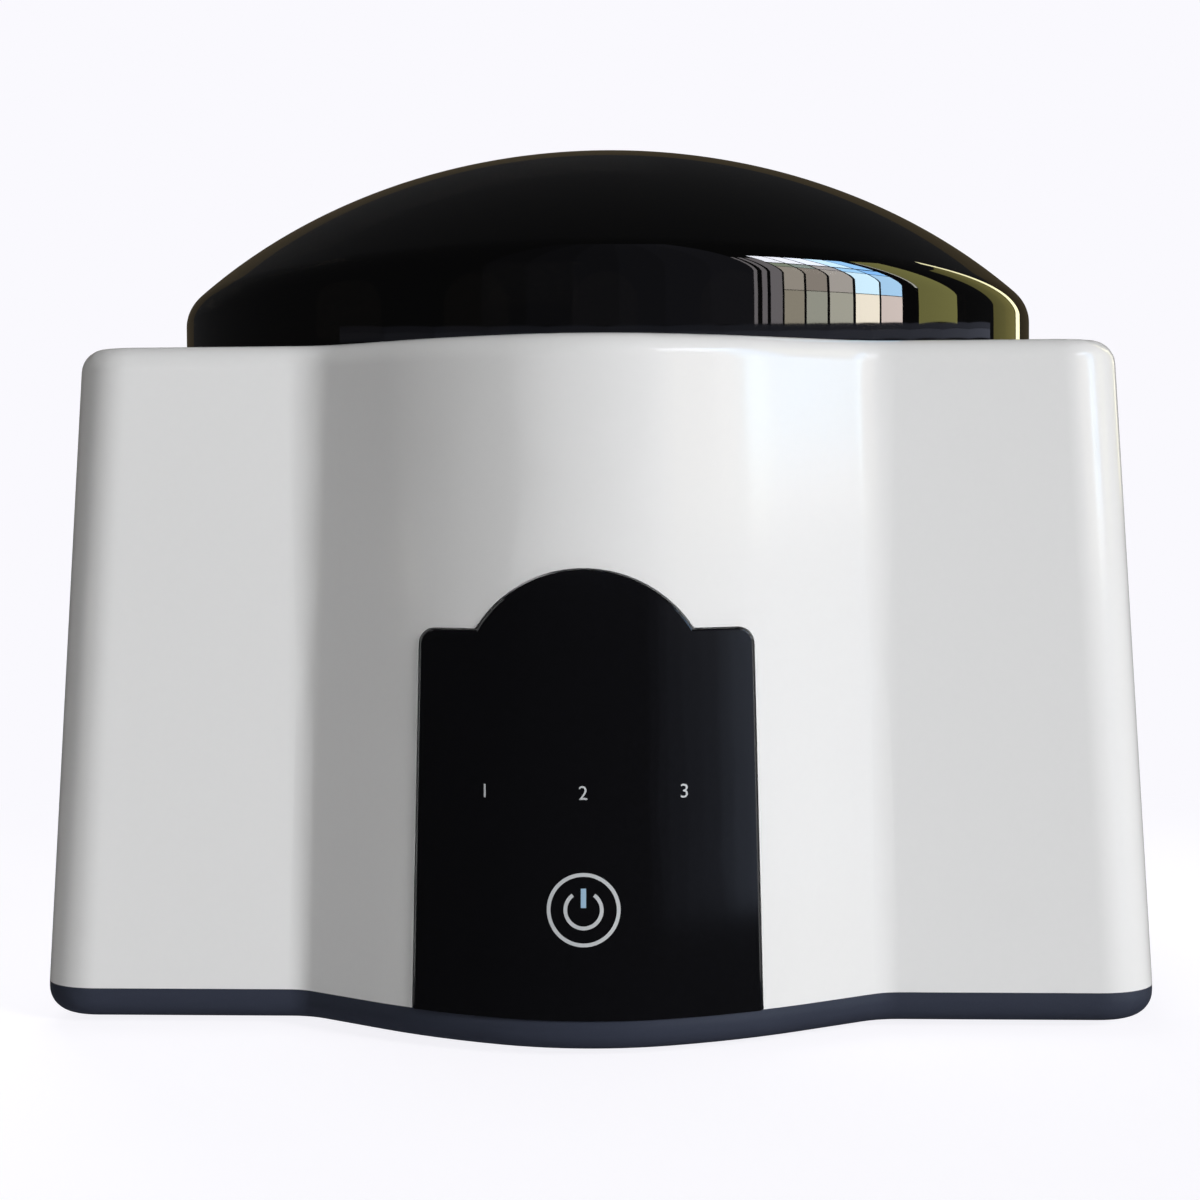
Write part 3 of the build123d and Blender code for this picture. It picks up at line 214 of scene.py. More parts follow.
# Moulded plastic or rubber: colour varies a little with the mottle, roughness too
def plastic(name, look):
    material = bpy.data.materials.new(name)
    material.use_nodes = True
    tree = material.node_tree
    bsdf = tree.nodes["Principled BSDF"]
    low, high = look["roughness"]
    effect = placeEffect(
        tree, mouldGrain, Grain_Scale=look["grainScale"], Mottle_Scale=look["mottleScale"],
        Low=low, High=high,
    )
    amount = mathNode(tree, "MULTIPLY", effect.outputs["Height"], look["tintAmount"])
    colour = mixColor(tree, amount, look["color"], look["tint"])
    tree.links.new(colour, bsdf.inputs["Base Color"])
    tree.links.new(effect.outputs["Mottle"], bsdf.inputs["Roughness"])
    bsdf.inputs["IOR"].default_value = look.get("ior", 1.5)
    bsdf.inputs["Specular IOR Level"].default_value = look.get("specular", 0.5)
    bsdf.inputs["Coat Weight"].default_value = look.get("coat", 0.0)
    bsdf.inputs["Coat Roughness"].default_value = look.get("coatRoughness", 0.05)
    bsdf.inputs["Coat IOR"].default_value = look.get("coatIor", 1.5)
    bsdf.inputs["Transmission Weight"].default_value = look.get("transmission", 0.0)
    addBump(tree, bsdf, effect.outputs["Height"], look["bump"], look["bumpDepth"] * mm)
    return material


# Rolled or brushed metal
def metal(name, look):
    material = bpy.data.materials.new(name)
    material.use_nodes = True
    tree = material.node_tree
    bsdf = tree.nodes["Principled BSDF"]
    bsdf.inputs["Metallic"].default_value = 1.0
    effect = placeEffect(tree, brushedLines, Line_Scale=look["lineScale"], Stretch=look["stretch"])
    colour = mixColor(tree, effect.outputs["Streak"], look["color"], look["tint"])
    tree.links.new(colour, bsdf.inputs["Base Color"])
    low, high = look["roughness"]
    spread = tree.nodes.new("ShaderNodeMapRange")
    spread.inputs["To Min"].default_value = low
    spread.inputs["To Max"].default_value = high
    tree.links.new(effect.outputs["Streak"], spread.inputs["Value"])
    tree.links.new(spread.outputs["Result"], bsdf.inputs["Roughness"])
    addBump(tree, bsdf, effect.outputs["Height"], look["bump"], look["bumpDepth"] * mm)
    return material


finishes = {
    "whiteHousing": dict(color=(0.83, 0.83, 0.835), tint=(0.80, 0.80, 0.81), tintAmount=0.5,
                         roughness=(0.10, 0.14), grainScale=700.0, mottleScale=25.0,
                         bump=0.05, bumpDepth=0.05, specular=0.24),
    "darkTray": dict(color=(0.030, 0.035, 0.056), tint=(0.046, 0.053, 0.078), tintAmount=0.8,
                     roughness=(0.36, 0.46), grainScale=3500.0, mottleScale=60.0,
                     bump=0.12, bumpDepth=0.05),
    "touchPanel": dict(color=(0.0030, 0.0030, 0.0036), tint=(0.006, 0.006, 0.008), tintAmount=0.5,
                       roughness=(0.06, 0.10), grainScale=900.0, mottleScale=30.0,
                       bump=0.02, bumpDepth=0.03),
    "smokedHood": dict(color=(0.0008, 0.0007, 0.0005), tint=(0.0014, 0.0011, 0.0008),
                       tintAmount=0.5, roughness=(0.012, 0.022), grainScale=60.0, mottleScale=20.0,
                       bump=0.01, bumpDepth=0.05, transmission=1.0, ior=1.49,
                       coat=1.0, coatRoughness=0.012, coatIor=1.6),
    "palePrint": dict(color=(0.58, 0.60, 0.62), tint=(0.50, 0.52, 0.54), tintAmount=0.6,
                      roughness=(0.35, 0.5), grainScale=1800.0, mottleScale=200.0,
                      bump=0.05, bumpDepth=0.01),
    "bluePrint": dict(color=(0.36, 0.53, 0.70), tint=(0.30, 0.47, 0.64), tintAmount=0.6,
                      roughness=(0.35, 0.5), grainScale=1800.0, mottleScale=200.0,
                      bump=0.05, bumpDepth=0.01),
    "blackInner": dict(color=(0.012, 0.012, 0.013), tint=(0.024, 0.024, 0.026), tintAmount=0.7,
                       roughness=(0.38, 0.5), grainScale=3800.0, mottleScale=70.0,
                       bump=0.15, bumpDepth=0.05),
    "silicone": dict(color=(0.055, 0.055, 0.06), tint=(0.09, 0.09, 0.095), tintAmount=0.5,
                     roughness=(0.5, 0.62), grainScale=2500.0, mottleScale=90.0,
                     bump=0.08, bumpDepth=0.04),
    "feetRubber": dict(color=(0.016, 0.016, 0.016), tint=(0.035, 0.035, 0.035), tintAmount=0.9,
                       roughness=(0.65, 0.8), grainScale=4200.0, mottleScale=120.0,
                       bump=0.3, bumpDepth=0.06),
    "jackPlastic": dict(color=(0.014, 0.014, 0.015), tint=(0.028, 0.028, 0.03), tintAmount=0.6,
                        roughness=(0.3, 0.42), grainScale=3000.0, mottleScale=150.0,
                        bump=0.08, bumpDepth=0.04),
    "circuitBoard": dict(color=(0.012, 0.12, 0.045), tint=(0.02, 0.17, 0.07), tintAmount=0.6,
                         roughness=(0.25, 0.38), grainScale=900.0, mottleScale=200.0,
                         bump=0.06, bumpDepth=0.03),
    "whiteDiffuser": dict(color=(0.75, 0.75, 0.72), tint=(0.66, 0.66, 0.63), tintAmount=0.5,
                          roughness=(0.4, 0.5), grainScale=2500.0, mottleScale=100.0,
                          bump=0.05, bumpDepth=0.03),
    "micaPad": dict(color=(0.52, 0.44, 0.27), tint=(0.68, 0.6, 0.42), tintAmount=1.0,
                    roughness=(0.45, 0.6), grainScale=1200.0, mottleScale=300.0,
                    bump=0.15, bumpDepth=0.06),
    "clearFilm": dict(color=(0.62, 0.62, 0.6), tint=(0.7, 0.7, 0.68), tintAmount=0.5,
                      roughness=(0.3, 0.4), grainScale=1500.0, mottleScale=100.0,
                      bump=0.05, bumpDepth=0.02),
    "leadJacket": dict(color=(0.3, 0.012, 0.012), tint=(0.4, 0.03, 0.025), tintAmount=0.5,
                       roughness=(0.45, 0.6), grainScale=2000.0, mottleScale=150.0,
                       bump=0.1, bumpDepth=0.03),
}
metals = {
    "plainSteel": dict(color=(0.52, 0.52, 0.53), tint=(0.66, 0.66, 0.66), lineScale=2600.0,
                       stretch=0.05, roughness=(0.24, 0.38), bump=0.05, bumpDepth=0.02),
    "dishAluminium": dict(color=(0.66, 0.66, 0.67), tint=(0.78, 0.78, 0.79), lineScale=1800.0,
                          stretch=0.02, roughness=(0.26, 0.4), bump=0.06, bumpDepth=0.02),
}
made = {name: plastic(name, look) for name, look in finishes.items()}
made.update({name: metal(name, look) for name, look in metals.items()})
print("finishes made:", len(made))


# Which solids show as smooth copies, and in which finish: node, body, slot, finish
shownPieces = [
    ("shell", "root", "white_housing", "whiteHousing"),
    ("base_tray", "root", "dark_tray", "darkTray"),
    ("rubber_feet", "root", "black_rubber", "feetRubber"),
    ("control_panel", "root", "black_panel", "touchPanel"),
    ("finger_gate", "root", "black_inner", "blackInner"),
    ("finger_seals", "root", "silicone", "silicone"),
    ("hinge_pins", "root", "steel", "plainSteel"),
    ("deck", "root", "black_inner", "blackInner"),
    ("hood_gasket", "root", "silicone", "silicone"),
    ("steam_dish", "dish", "dish_aluminium", "dishAluminium"),
    ("dish_grille", "grille", "black_inner", "blackInner"),
    ("dc_jack", "root", "electronics", "jackPlastic"),
]
pieces = {}
for node, body, slot, finish in shownPieces:
    pieces[node] = smoothCopy(node, node + "_finished", made[finish], body)
print("smooth pieces:", len(pieces))

# The smoked hood, drawn from the rule of its form: an elliptic side band, a crown curved both
# ways, and a rolled edge between them. Millimetres and degrees.
hoodForm = {
    "sideRadius": 110.0, "crownAcross": 126.0, "crownRise": 104.0, "edgeRadius": 8.0, "wall": 2.2,
    "pivot": (0.5, 143.2), "bossInner": 90.3, "bossRadius": 4.6, "bossSunk": 0.33,
    "boreRadius": 1.55, "boreDepth": 2.9, "sharpAngle": 35,
    "columns": 130, "cornerSteps": 8, "bandSteps": 3, "edgeSteps": 12, "crownSteps": 40,
    "bossSegments": 40,
}


# One wall of the hood, as columns of points from its foot up the band and back over the crown
def hoodWall(inset, low, high):
    h = hoodForm
    half = high.x / mm - inset
    rimY = high.y / mm
    reach = rimY - low.y / mm - inset
    axisZ = high.z / mm - h["sideRadius"]
    across, rise = h["crownAcross"] - inset, h["crownRise"] - inset
    radius = h["edgeRadius"] - inset
    pivotY, pivotZ = h["pivot"]
    turn = rimY - pivotY

    def fromAxis(x):
        return h["sideRadius"] - h["crownRise"] + rise * math.sqrt(1 - (x / across) ** 2)

    def crownZ(x, y):
        return axisZ + math.sqrt(fromAxis(x) ** 2 - (y - rimY) ** 2)

    def crownSlope(x, y):
        upright = crownZ(x, y) - axisZ
        lean = -rise * x / (across ** 2 * math.sqrt(1 - (x / across) ** 2))
        return Vector((fromAxis(x) * lean / upright, -(y - rimY) / upright))

    def column(angle, rimReach):
        foot = Vector((half * math.sin(angle), rimY - reach * math.cos(angle)))
        inward = -Vector((math.sin(angle) / half, -math.cos(angle) / reach)).normalized()
        run = radius * 0.3     # a first guess, which the rounds below settle
        for _ in range(4):
            at = foot + inward * run
            slope = crownSlope(*at).dot(inward)
            steep = math.sqrt(1 + slope ** 2)
            run = radius * (1 - slope / steep)
        at = foot + inward * run
        centreZ = crownZ(*at) - radius / steep
        bottom = low.z / mm
        if foot.y > pivotY:
            bottom = pivotZ - math.sqrt(max(turn ** 2 - (foot.y - pivotY) ** 2, 0.0))
        points = []
        for k in range(h["bandSteps"]):
            z = bottom + (centreZ - bottom) * k / h["bandSteps"]
            points.append(Vector((foot.x, foot.y, z)))
        last = math.atan2(1.0, slope)
        for k in range(h["edgeSteps"] + 1):
            swing = last * k / h["edgeSteps"]
            out = foot + inward * radius * (1 - math.cos(swing))
            points.append(Vector((out.x, out.y, centreZ + radius * math.sin(swing))))
        rimX = rimReach * math.sin(angle) if rimReach else at.x
        for k in range(1, h["crownSteps"] + 1):
            t = k / h["crownSteps"]
            x, y = at.x + (rimX - at.x) * t, at.y + (rimY - at.y) * t
            points.append(Vector((x, y, crownZ(x, y))))
        return points, at

    angles = [math.pi * (k / h["columns"] - 0.5) for k in range(h["columns"] + 1)]
    # more columns where the lower rear corners are rounded
    steps = h["cornerSteps"]
    drops = [turn * math.sin(k * math.pi / (2 * steps)) for k in range(steps + 1)]
    near = [math.acos(min(1.0, (rimY - pivotY - drop) / reach)) for drop in drops]
    near = [angle for angle in near if angle < math.pi / 2 - 1e-4]
    angles = sorted(set(angles) | set(near) | {-angle for angle in near})
    rimReach = column(math.pi / 2, 0.0)[1].x
    return [column(angle, rimReach)[0] for angle in angles]


# The boss that a hinge pin turns in, with its blind bore; its outer end is sunk in the wall
def latheBoss(work, side):
    h = hoodForm
    pivotY, pivotZ = h["pivot"]
    inner, end = h["bossInner"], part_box("hood")[1].x / mm - h["wall"] + h["bossSunk"]
    profile = [
        (inner + h["boreDepth"], 0.0), (inner + h["boreDepth"], h["boreRadius"]),
        (inner, h["boreRadius"]), (inner, h["bossRadius"]), (end, h["bossRadius"]), (end, 0.0),
    ]
    rings = []
    for x, radius in profile:
        ring = []
        for k in range(h["bossSegments"]):
            swing = 2 * math.pi * k / h["bossSegments"]
            point = (side * x, pivotY + radius * math.cos(swing), pivotZ + radius * math.sin(swing))
            ring.append(work.verts.new(Vector(point) * mm))
        rings.append(ring)
    for first, second in zip(rings, rings[1:]):
        for k in range(h["bossSegments"]):
            n = (k + 1) % h["bossSegments"]
            work.faces.new((first[k], first[n], second[n], second[k]))


def buildHood():
    low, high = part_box("hood")
    work = bmesh.new()
    walls = [
        [[work.verts.new(point * mm) for point in column] for column in hoodWall(inset, low, high)]
        for inset in (0.0, hoodForm["wall"])
    ]
    outer, inner = walls
    last = len(outer[0]) - 1
    for wall in walls:
        for left, right in zip(wall, wall[1:]):
            for k in range(last):
                work.faces.new((left[k], right[k], right[k + 1], left[k + 1]))
    for k in range(len(outer) - 1):     # the foot, then the rear arch
        work.faces.new((outer[k][0], outer[k + 1][0], inner[k + 1][0], inner[k][0]))
        work.faces.new((outer[k][last], outer[k + 1][last], inner[k + 1][last], inner[k][last]))
    for end in (0, -1):
        for k in range(last):
            work.faces.new((outer[end][k], outer[end][k + 1], inner[end][k + 1], inner[end][k]))
    bmesh.ops.remove_doubles(work, verts=work.verts, dist=tolerances["wallMerge"])
    bmesh.ops.dissolve_degenerate(work, edges=work.edges, dist=tolerances["length"])
    for side in (1, -1):
        latheBoss(work, side)
    bmesh.ops.remove_doubles(work, verts=work.verts, dist=tolerances["bossMerge"])
    bmesh.ops.recalc_face_normals(work, faces=work.faces)
    for face in work.faces:
        face.smooth = True
    limit = math.radians(hoodForm["sharpAngle"])
    for edge in work.edges:
        edge.smooth = edge.is_manifold and edge.calc_face_angle(0) < limit
    mesh = bpy.data.meshes.new("smokedHood")
    work.to_mesh(mesh)
    work.free()
    return linkPiece("smokedHood", mesh, made["smokedHood"], "hood", ("hood",))


pieces["hood"] = buildHood()
print("hood drawn:", len(pieces["hood"].data.polygons), "faces")


# Node trees that build what repeats and what follows a surface

def geometryTree(name, inputs):
    tree = bpy.data.node_groups.new(name, "GeometryNodeTree")
    for socketName, kind, value in inputs:
        addSocket(tree, socketName, kind, "INPUT", value)
    addSocket(tree, "Geometry", "NodeSocketGeometry", "OUTPUT")
    return tree, tree.nodes.new("NodeGroupInput").outputs, tree.nodes.new("NodeGroupOutput").inputs


# Adds a node: settings by name, and a table of sockets with the value or output for each
def lay(tree, kind, wires=None, **settings):
    node = tree.nodes.new(kind)
    for key, value in settings.items():
        setattr(node, key, value)
    for key, value in (wires or {}).items():
        if isinstance(value, (list, bpy.types.NodeSocket)):
            for output in value if isinstance(value, list) else [value]:
                tree.links.new(output, node.inputs[key])
        else:
            node.inputs[key].default_value = value
    return node.outputs


def reckon(tree, operation, first, second):
    return lay(tree, "ShaderNodeMath", {0: first, 1: second}, operation=operation)[0]


def spot(tree, x=0.0, y=0.0, z=0.0):
    return lay(tree, "ShaderNodeCombineXYZ", {"X": x, "Y": y, "Z": z})[0]


# Runs a tree on a carrier mesh and keeps the result as a plain mesh
def grow(name, tree, values, carrier, sharpAngle):
    holder = bpy.data.objects.new(name, carrier)
    scene.collection.objects.link(holder)
    step = holder.modifiers.new(tree.name, "NODES")
    step.node_group = tree
    for item in tree.interface.items_tree:
        if item.name in values:
            step[item.identifier] = values[item.name]
    seen = holder.evaluated_get(bpy.context.evaluated_depsgraph_get())
    mesh = bpy.data.meshes.new_from_object(seen)
    mesh.name = name
    holder.modifiers.remove(step)
    bpy.data.objects.remove(holder)
    shadeByAngle(mesh, sharpAngle)
    return mesh


# Screws with a cross recess, one at each vertex of the carrier, each turned its own way
def buildCrossHeadScrews():
    length = "NodeSocketFloat"
    tree, given, result = geometryTree("crossHeadScrews", [
        ("Geometry", "NodeSocketGeometry", None),
        ("Head Radius", length, 0.0026), ("Head Foot Radius", length, 0.0014),
        ("Head Height", length, 0.0014), ("Shank Radius", length, 0.0014),
        ("Shank Length", length, 0.01), ("Slot Length", length, 0.003),
        ("Slot Width", length, 0.0007), ("Slot Depth", length, 0.0009),
        ("Upside Down", length, 0.0), ("Seed", "NodeSocketInt", 3),
        ("Material", "NodeSocketMaterial", None),
    ])
    head = lay(tree, "GeometryNodeMeshCone", {
        "Vertices": 36, "Radius Top": given["Head Radius"],
        "Radius Bottom": given["Head Foot Radius"], "Depth": given["Head Height"],
    })["Mesh"]
    lowered = reckon(tree, "MULTIPLY", given["Head Height"], -1.0)
    head = lay(tree, "GeometryNodeTransform", {
        "Geometry": head, "Translation": spot(tree, z=lowered),
    })[0]
    bars = [
        lay(tree, "GeometryNodeMeshCube", {"Size": spot(
            tree, given["Slot Length" if along else "Slot Width"],
            given["Slot Width" if along else "Slot Length"],
            reckon(tree, "MULTIPLY", given["Slot Depth"], 2.0),
        )})["Mesh"]
        for along in (True, False)
    ]
    cross = lay(tree, "GeometryNodeMeshBoolean", {1: bars},
                operation="UNION", solver="EXACT")["Mesh"]
    cut = lay(tree, "GeometryNodeMeshBoolean", {0: head, 1: cross},
              operation="DIFFERENCE", solver="EXACT")["Mesh"]
    shank = lay(tree, "GeometryNodeMeshCylinder", {
        "Vertices": 20, "Radius": given["Shank Radius"], "Depth": given["Shank Length"],
    })["Mesh"]
    half = reckon(tree, "MULTIPLY", given["Shank Length"], -0.5)
    # the shank starts just inside the head, at 0.98 of its height
    below = reckon(tree, "ADD", half, reckon(tree, "MULTIPLY", lowered, 0.98))
    shank = lay(tree, "GeometryNodeTransform", {
        "Geometry": shank, "Translation": spot(tree, z=below),
    })[0]
    whole = lay(tree, "GeometryNodeJoinGeometry", {0: [cut, shank]})[0]
    spin = lay(tree, "FunctionNodeRandomValue", {
        "Max": math.pi / 2, "Seed": given["Seed"],
    }, data_type="FLOAT")
    turnedOver = reckon(tree, "MULTIPLY", given["Upside Down"], math.pi)
    placed = lay(tree, "GeometryNodeInstanceOnPoints", {
        "Points": given["Geometry"], "Instance": whole,
        "Rotation": spot(tree, turnedOver, 0.0, spin[1]),
    })[0]
    solid = lay(tree, "GeometryNodeRealizeInstances", {"Geometry": placed})[0]
    named = lay(tree, "GeometryNodeSetMaterial", {
        "Geometry": solid, "Material": given["Material"],
    })[0]
    tree.links.new(named, result["Geometry"])
    return tree


# Thin print that follows the front of the panel: numerals, a ring and an open ring, or a bar
def buildPanelPrint():
    standOff = 0.14     # the flat print stands this far in front before it is laid on the panel
    length = "NodeSocketFloat"
    tree, given, result = geometryTree("panelPrint", [
        ("Geometry", "NodeSocketGeometry", None),
        ("Numeral Height", length, 0.003), ("Numeral Pitch", length, 0.0186),
        ("Numeral Rise", length, 0.05), ("Ring Radius", length, 0.0069),
        ("Ring Stroke", length, 0.0007), ("Ring Rise", length, 0.0284),
        ("Open Ring Radius", length, 0.0034), ("Open Ring Stroke", length, 0.0008),
        ("Open Ring Gap", length, 1.2), ("Bar Width", length, 0.0), ("Bar Height", length, 0.0),
        ("Bar Rise", length, 0.03), ("Thickness", length, 0.00003),
        ("Panel", "NodeSocketObject", None), ("Material", "NodeSocketMaterial", None),
    ])
    flat = []
    for column in (-1, 0, 1):
        written = lay(tree, "GeometryNodeStringToCurves", {
            "String": str(column + 2), "Size": given["Numeral Height"],
        }, align_x="CENTER", align_y="MIDDLE")[0]
        outline = lay(tree, "GeometryNodeRealizeInstances", {"Geometry": written})[0]
        filled = lay(tree, "GeometryNodeFillCurve", {"Curve": outline})[0]
        across = reckon(tree, "MULTIPLY", given["Numeral Pitch"], float(column))
        at = spot(tree, across, given["Numeral Rise"])
        flat.append(lay(tree, "GeometryNodeTransform", {"Geometry": filled, "Translation": at})[0])
    rings = []
    for sign in (0.5, -0.5):
        shift = reckon(tree, "MULTIPLY", given["Ring Stroke"], sign)
        radius = reckon(tree, "ADD", given["Ring Radius"], shift)
        rings.append(lay(tree, "GeometryNodeCurvePrimitiveCircle", {
            "Resolution": 72, "Radius": radius,
        })[0])
    joined = lay(tree, "GeometryNodeJoinGeometry", {0: rings})[0]
    ring = lay(tree, "GeometryNodeFillCurve", {"Curve": joined})[0]
    sweep = reckon(tree, "SUBTRACT", 2 * math.pi, given["Open Ring Gap"])
    start = reckon(tree, "ADD", math.pi / 2, reckon(tree, "MULTIPLY", given["Open Ring Gap"], 0.5))
    arc = lay(tree, "GeometryNodeCurveArc", {
        "Resolution": 48, "Radius": given["Open Ring Radius"],
        "Start Angle": start, "Sweep Angle": sweep,
    })[0]
    upright = lay(tree, "GeometryNodeSetCurveNormal", {"Curve": arc}, mode="Z_UP")[0]
    half = reckon(tree, "MULTIPLY", given["Open Ring Stroke"], 0.5)
    line = lay(tree, "GeometryNodeCurvePrimitiveLine", {
        "Start": spot(tree, reckon(tree, "MULTIPLY", half, -1.0)), "End": spot(tree, half),
    })[0]
    ribbon = lay(tree, "GeometryNodeCurveToMesh", {"Curve": upright, "Profile Curve": line})[0]
    both = lay(tree, "GeometryNodeJoinGeometry", {0: [ring, ribbon]})[0]
    flat.append(lay(tree, "GeometryNodeTransform", {
        "Geometry": both, "Translation": spot(tree, 0.0, given["Ring Rise"]),
    })[0])
    bar = lay(tree, "GeometryNodeMeshGrid", {
        "Size X": given["Bar Width"], "Size Y": given["Bar Height"],
        "Vertices X": 4, "Vertices Y": 5,
    })["Mesh"]
    flat.append(lay(tree, "GeometryNodeTransform", {
        "Geometry": bar, "Translation": spot(tree, 0.0, given["Bar Rise"]),
    })[0])
    sheet = lay(tree, "GeometryNodeJoinGeometry", {0: flat})[0]
    normal = lay(tree, "GeometryNodeInputNormal")[0]
    facing = lay(tree, "ShaderNodeSeparateXYZ", {0: normal})["Z"]
    backward = lay(tree, "FunctionNodeCompare", {0: facing, 1: 0.0}, operation="LESS_THAN")[0]
    sheet = lay(tree, "GeometryNodeFlipFaces", {"Mesh": sheet, "Selection": backward})[0]
    raised = lay(tree, "GeometryNodeExtrudeMesh", {
        "Mesh": sheet, "Offset": spot(tree, z=1.0), "Offset Scale": given["Thickness"],
        "Individual": False,
    })["Mesh"]
    under = lay(tree, "GeometryNodeFlipFaces", {"Mesh": sheet})[0]
    slab = lay(tree, "GeometryNodeJoinGeometry", {0: [raised, under]})[0]
    slab = lay(tree, "GeometryNodeMergeByDistance", {"Geometry": slab, "Distance": 1e-6})[0]
    stood = lay(tree, "GeometryNodeTransform", {
        "Geometry": slab, "Translation": (0.0, -standOff, 0.0),
        "Rotation": (math.pi / 2, 0.0, 0.0),
    })[0]
    target = lay(tree, "GeometryNodeObjectInfo", {"Object": given["Panel"]})["Geometry"]
    here = lay(tree, "GeometryNodeInputPosition")[0]
    hit = lay(tree, "GeometryNodeRaycast", {
        "Target Geometry": target, "Source Position": here, "Ray Direction": (0.0, 1.0, 0.0),
        "Ray Length": 0.3,
    })["Hit Position"]
    depth = lay(tree, "ShaderNodeSeparateXYZ", {0: here})["Y"]
    lift = spot(tree, 0.0, reckon(tree, "ADD", depth, standOff))
    landed = lay(tree, "ShaderNodeVectorMath", {0: hit, 1: lift}, operation="ADD")[0]
    laid = lay(tree, "GeometryNodeSetPosition", {"Geometry": stood, "Position": landed})[0]
    solid = lay(tree, "GeometryNodeRealizeInstances", {"Geometry": laid})[0]
    named = lay(tree, "GeometryNodeSetMaterial", {
        "Geometry": solid, "Material": given["Material"],
    })[0]
    tree.links.new(named, result["Geometry"])
    return tree


crossHeadScrews = buildCrossHeadScrews()
panelPrint = buildPanelPrint()

deckScrews = {
    "Head Radius": 0.00265, "Head Foot Radius": 0.00145, "Head Height": 0.00138,
    "Shank Radius": 0.00145, "Slot Length": 0.0030, "Slot Width": 0.00062, "Slot Depth": 0.0009,
    "Upside Down": 0.0, "Seed": 3,
}
deckScrewRing = {"inset": 5.5, "angles": (12, 60, 120, 168)}
baseScrews = {
    "Head Radius": 0.0024, "Head Foot Radius": 0.0028, "Head Height": 0.0018,
    "Shank Radius": 0.00145, "Slot Length": 0.0034, "Slot Width": 0.00075, "Slot Depth": 0.0011,
    "Upside Down": 1.0, "Seed": 8,
}


def placeScrews(name, node, spots, look):
    low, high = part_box(node)
    carrier = bpy.data.meshes.new(name + "Spots")
    carrier.from_pydata(spots, [], [])
    values = dict(look, Material=made["plainSteel"])
    values["Shank Length"] = high.z - low.z - look["Head Height"]
    mesh = grow(name, crossHeadScrews, values, carrier, sharpAngle=30)
    return linkPiece(name, mesh, None, "root", (node,))


def buildDeckScrews():
    hoodLow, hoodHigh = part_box("hood")
    inset = deckScrewRing["inset"] * mm
    acrossRing, alongRing = hoodHigh.x - inset, hoodHigh.y - hoodLow.y - inset
    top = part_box("deck_screws")[1].z
    spots = []
    for angle in deckScrewRing["angles"]:
        turn = math.radians(angle)
        spots.append((acrossRing * math.cos(turn), hoodHigh.y - alongRing * math.sin(turn), top))
    return placeScrews("deckCrossScrews", "deck_screws", spots, deckScrews)


def buildBaseScrews():
    low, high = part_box("base_screws")
    radius = baseScrews["Head Foot Radius"]
    xPlaces, yPlaces = (low.x + radius, high.x - radius), (low.y + radius, high.y - radius)
    spots = [(x, y, low.z) for x in xPlaces for y in yPlaces]
    return placeScrews("baseCrossScrews", "base_screws", spots, baseScrews)


pieces["deck_screws"] = buildDeckScrews()
pieces["base_screws"] = buildBaseScrews()

panelMarks = {
    "Numeral Height": 0.0037, "Numeral Pitch": 0.0188, "Numeral Rise": 0.0500,
    "Ring Radius": 0.00655, "Ring Stroke": 0.0007, "Ring Rise": 0.0284,
    "Open Ring Radius": 0.0034, "Open Ring Stroke": 0.0007, "Open Ring Gap": 1.25,
}
panelBar = {"Bar Width": 0.0010, "Bar Height": 0.0036, "Bar Rise": 0.0306}


# A part of the print whose size is set to nothing leaves faces with no area
def dropEmptyFaces(mesh):
    work = bmesh.new()
    work.from_mesh(mesh)
    bmesh.ops.dissolve_degenerate(work, edges=work.edges, dist=tolerances["length"])
    empty = [face for face in work.faces if face.calc_area() < tolerances["area"]]
    bmesh.ops.delete(work, geom=empty, context="FACES")
    loose = [vertex for vertex in work.verts if not vertex.link_faces]
    bmesh.ops.delete(work, geom=loose, context="VERTS")
    work.to_mesh(mesh)
    work.free()


# Every size that the look doesn't name is nothing, so that part of the print is left out
def buildPrint(name, look, finish):
    carrier = bpy.data.meshes.new(name + "Start")
    sizes = ("Numeral Height", "Ring Radius", "Ring Stroke", "Open Ring Radius",
             "Open Ring Stroke", "Bar Width", "Bar Height")
    values = dict.fromkeys(sizes, 0.0)
    values.update(look, Panel=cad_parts["control_panel"], Material=made[finish])
    mesh = grow(name, panelPrint, values, carrier, sharpAngle=40)
    dropEmptyFaces(mesh)
    piece = linkPiece(name, mesh, None, "root")
    print(name, len(mesh.polygons), "faces")
    return piece


pieces["marks"] = buildPrint("panelMarks", panelMarks, "palePrint")
pieces["bar"] = buildPrint("panelBar", panelBar, "bluePrint")
print("screws and print grown,", len(pieces), "pieces so far")

# Solids that stay as they are, inside or small, by finish
plainNodes = {
    "clearFilm": ("panel_adhesive",),
    "silicone": ("well_seal",),
    "dishAluminium": ("heater_plate", "heat_sink"),
    "plainSteel": ("ptc_heater", "heater_clamp", "jack_nut", "gate_screws", "plate_screws",
                   "clamp_screws", "board_screws", "touch_screws"),
    "micaPad": ("heater_insulation", "thermal_fuse"),
    "jackPlastic": ("temperature_sensor", "board_capacitors", "power_inductor",
                    "power_transistor", "buzzer"),
    "circuitBoard": ("touch_board", "main_board"),
    "whiteDiffuser": ("indicator_leds", "light_box", "board_connectors"),
    "feetRubber": ("touch_foam",),
    "leadJacket": ("heater_leads", "panel_cable", "jack_leads"),
}
for finish, names in plainNodes.items():
    for node in names:
        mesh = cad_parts[node].data
        mesh.materials.clear()
        mesh.materials.append(made[finish])


# Floor, backdrop, light and camera

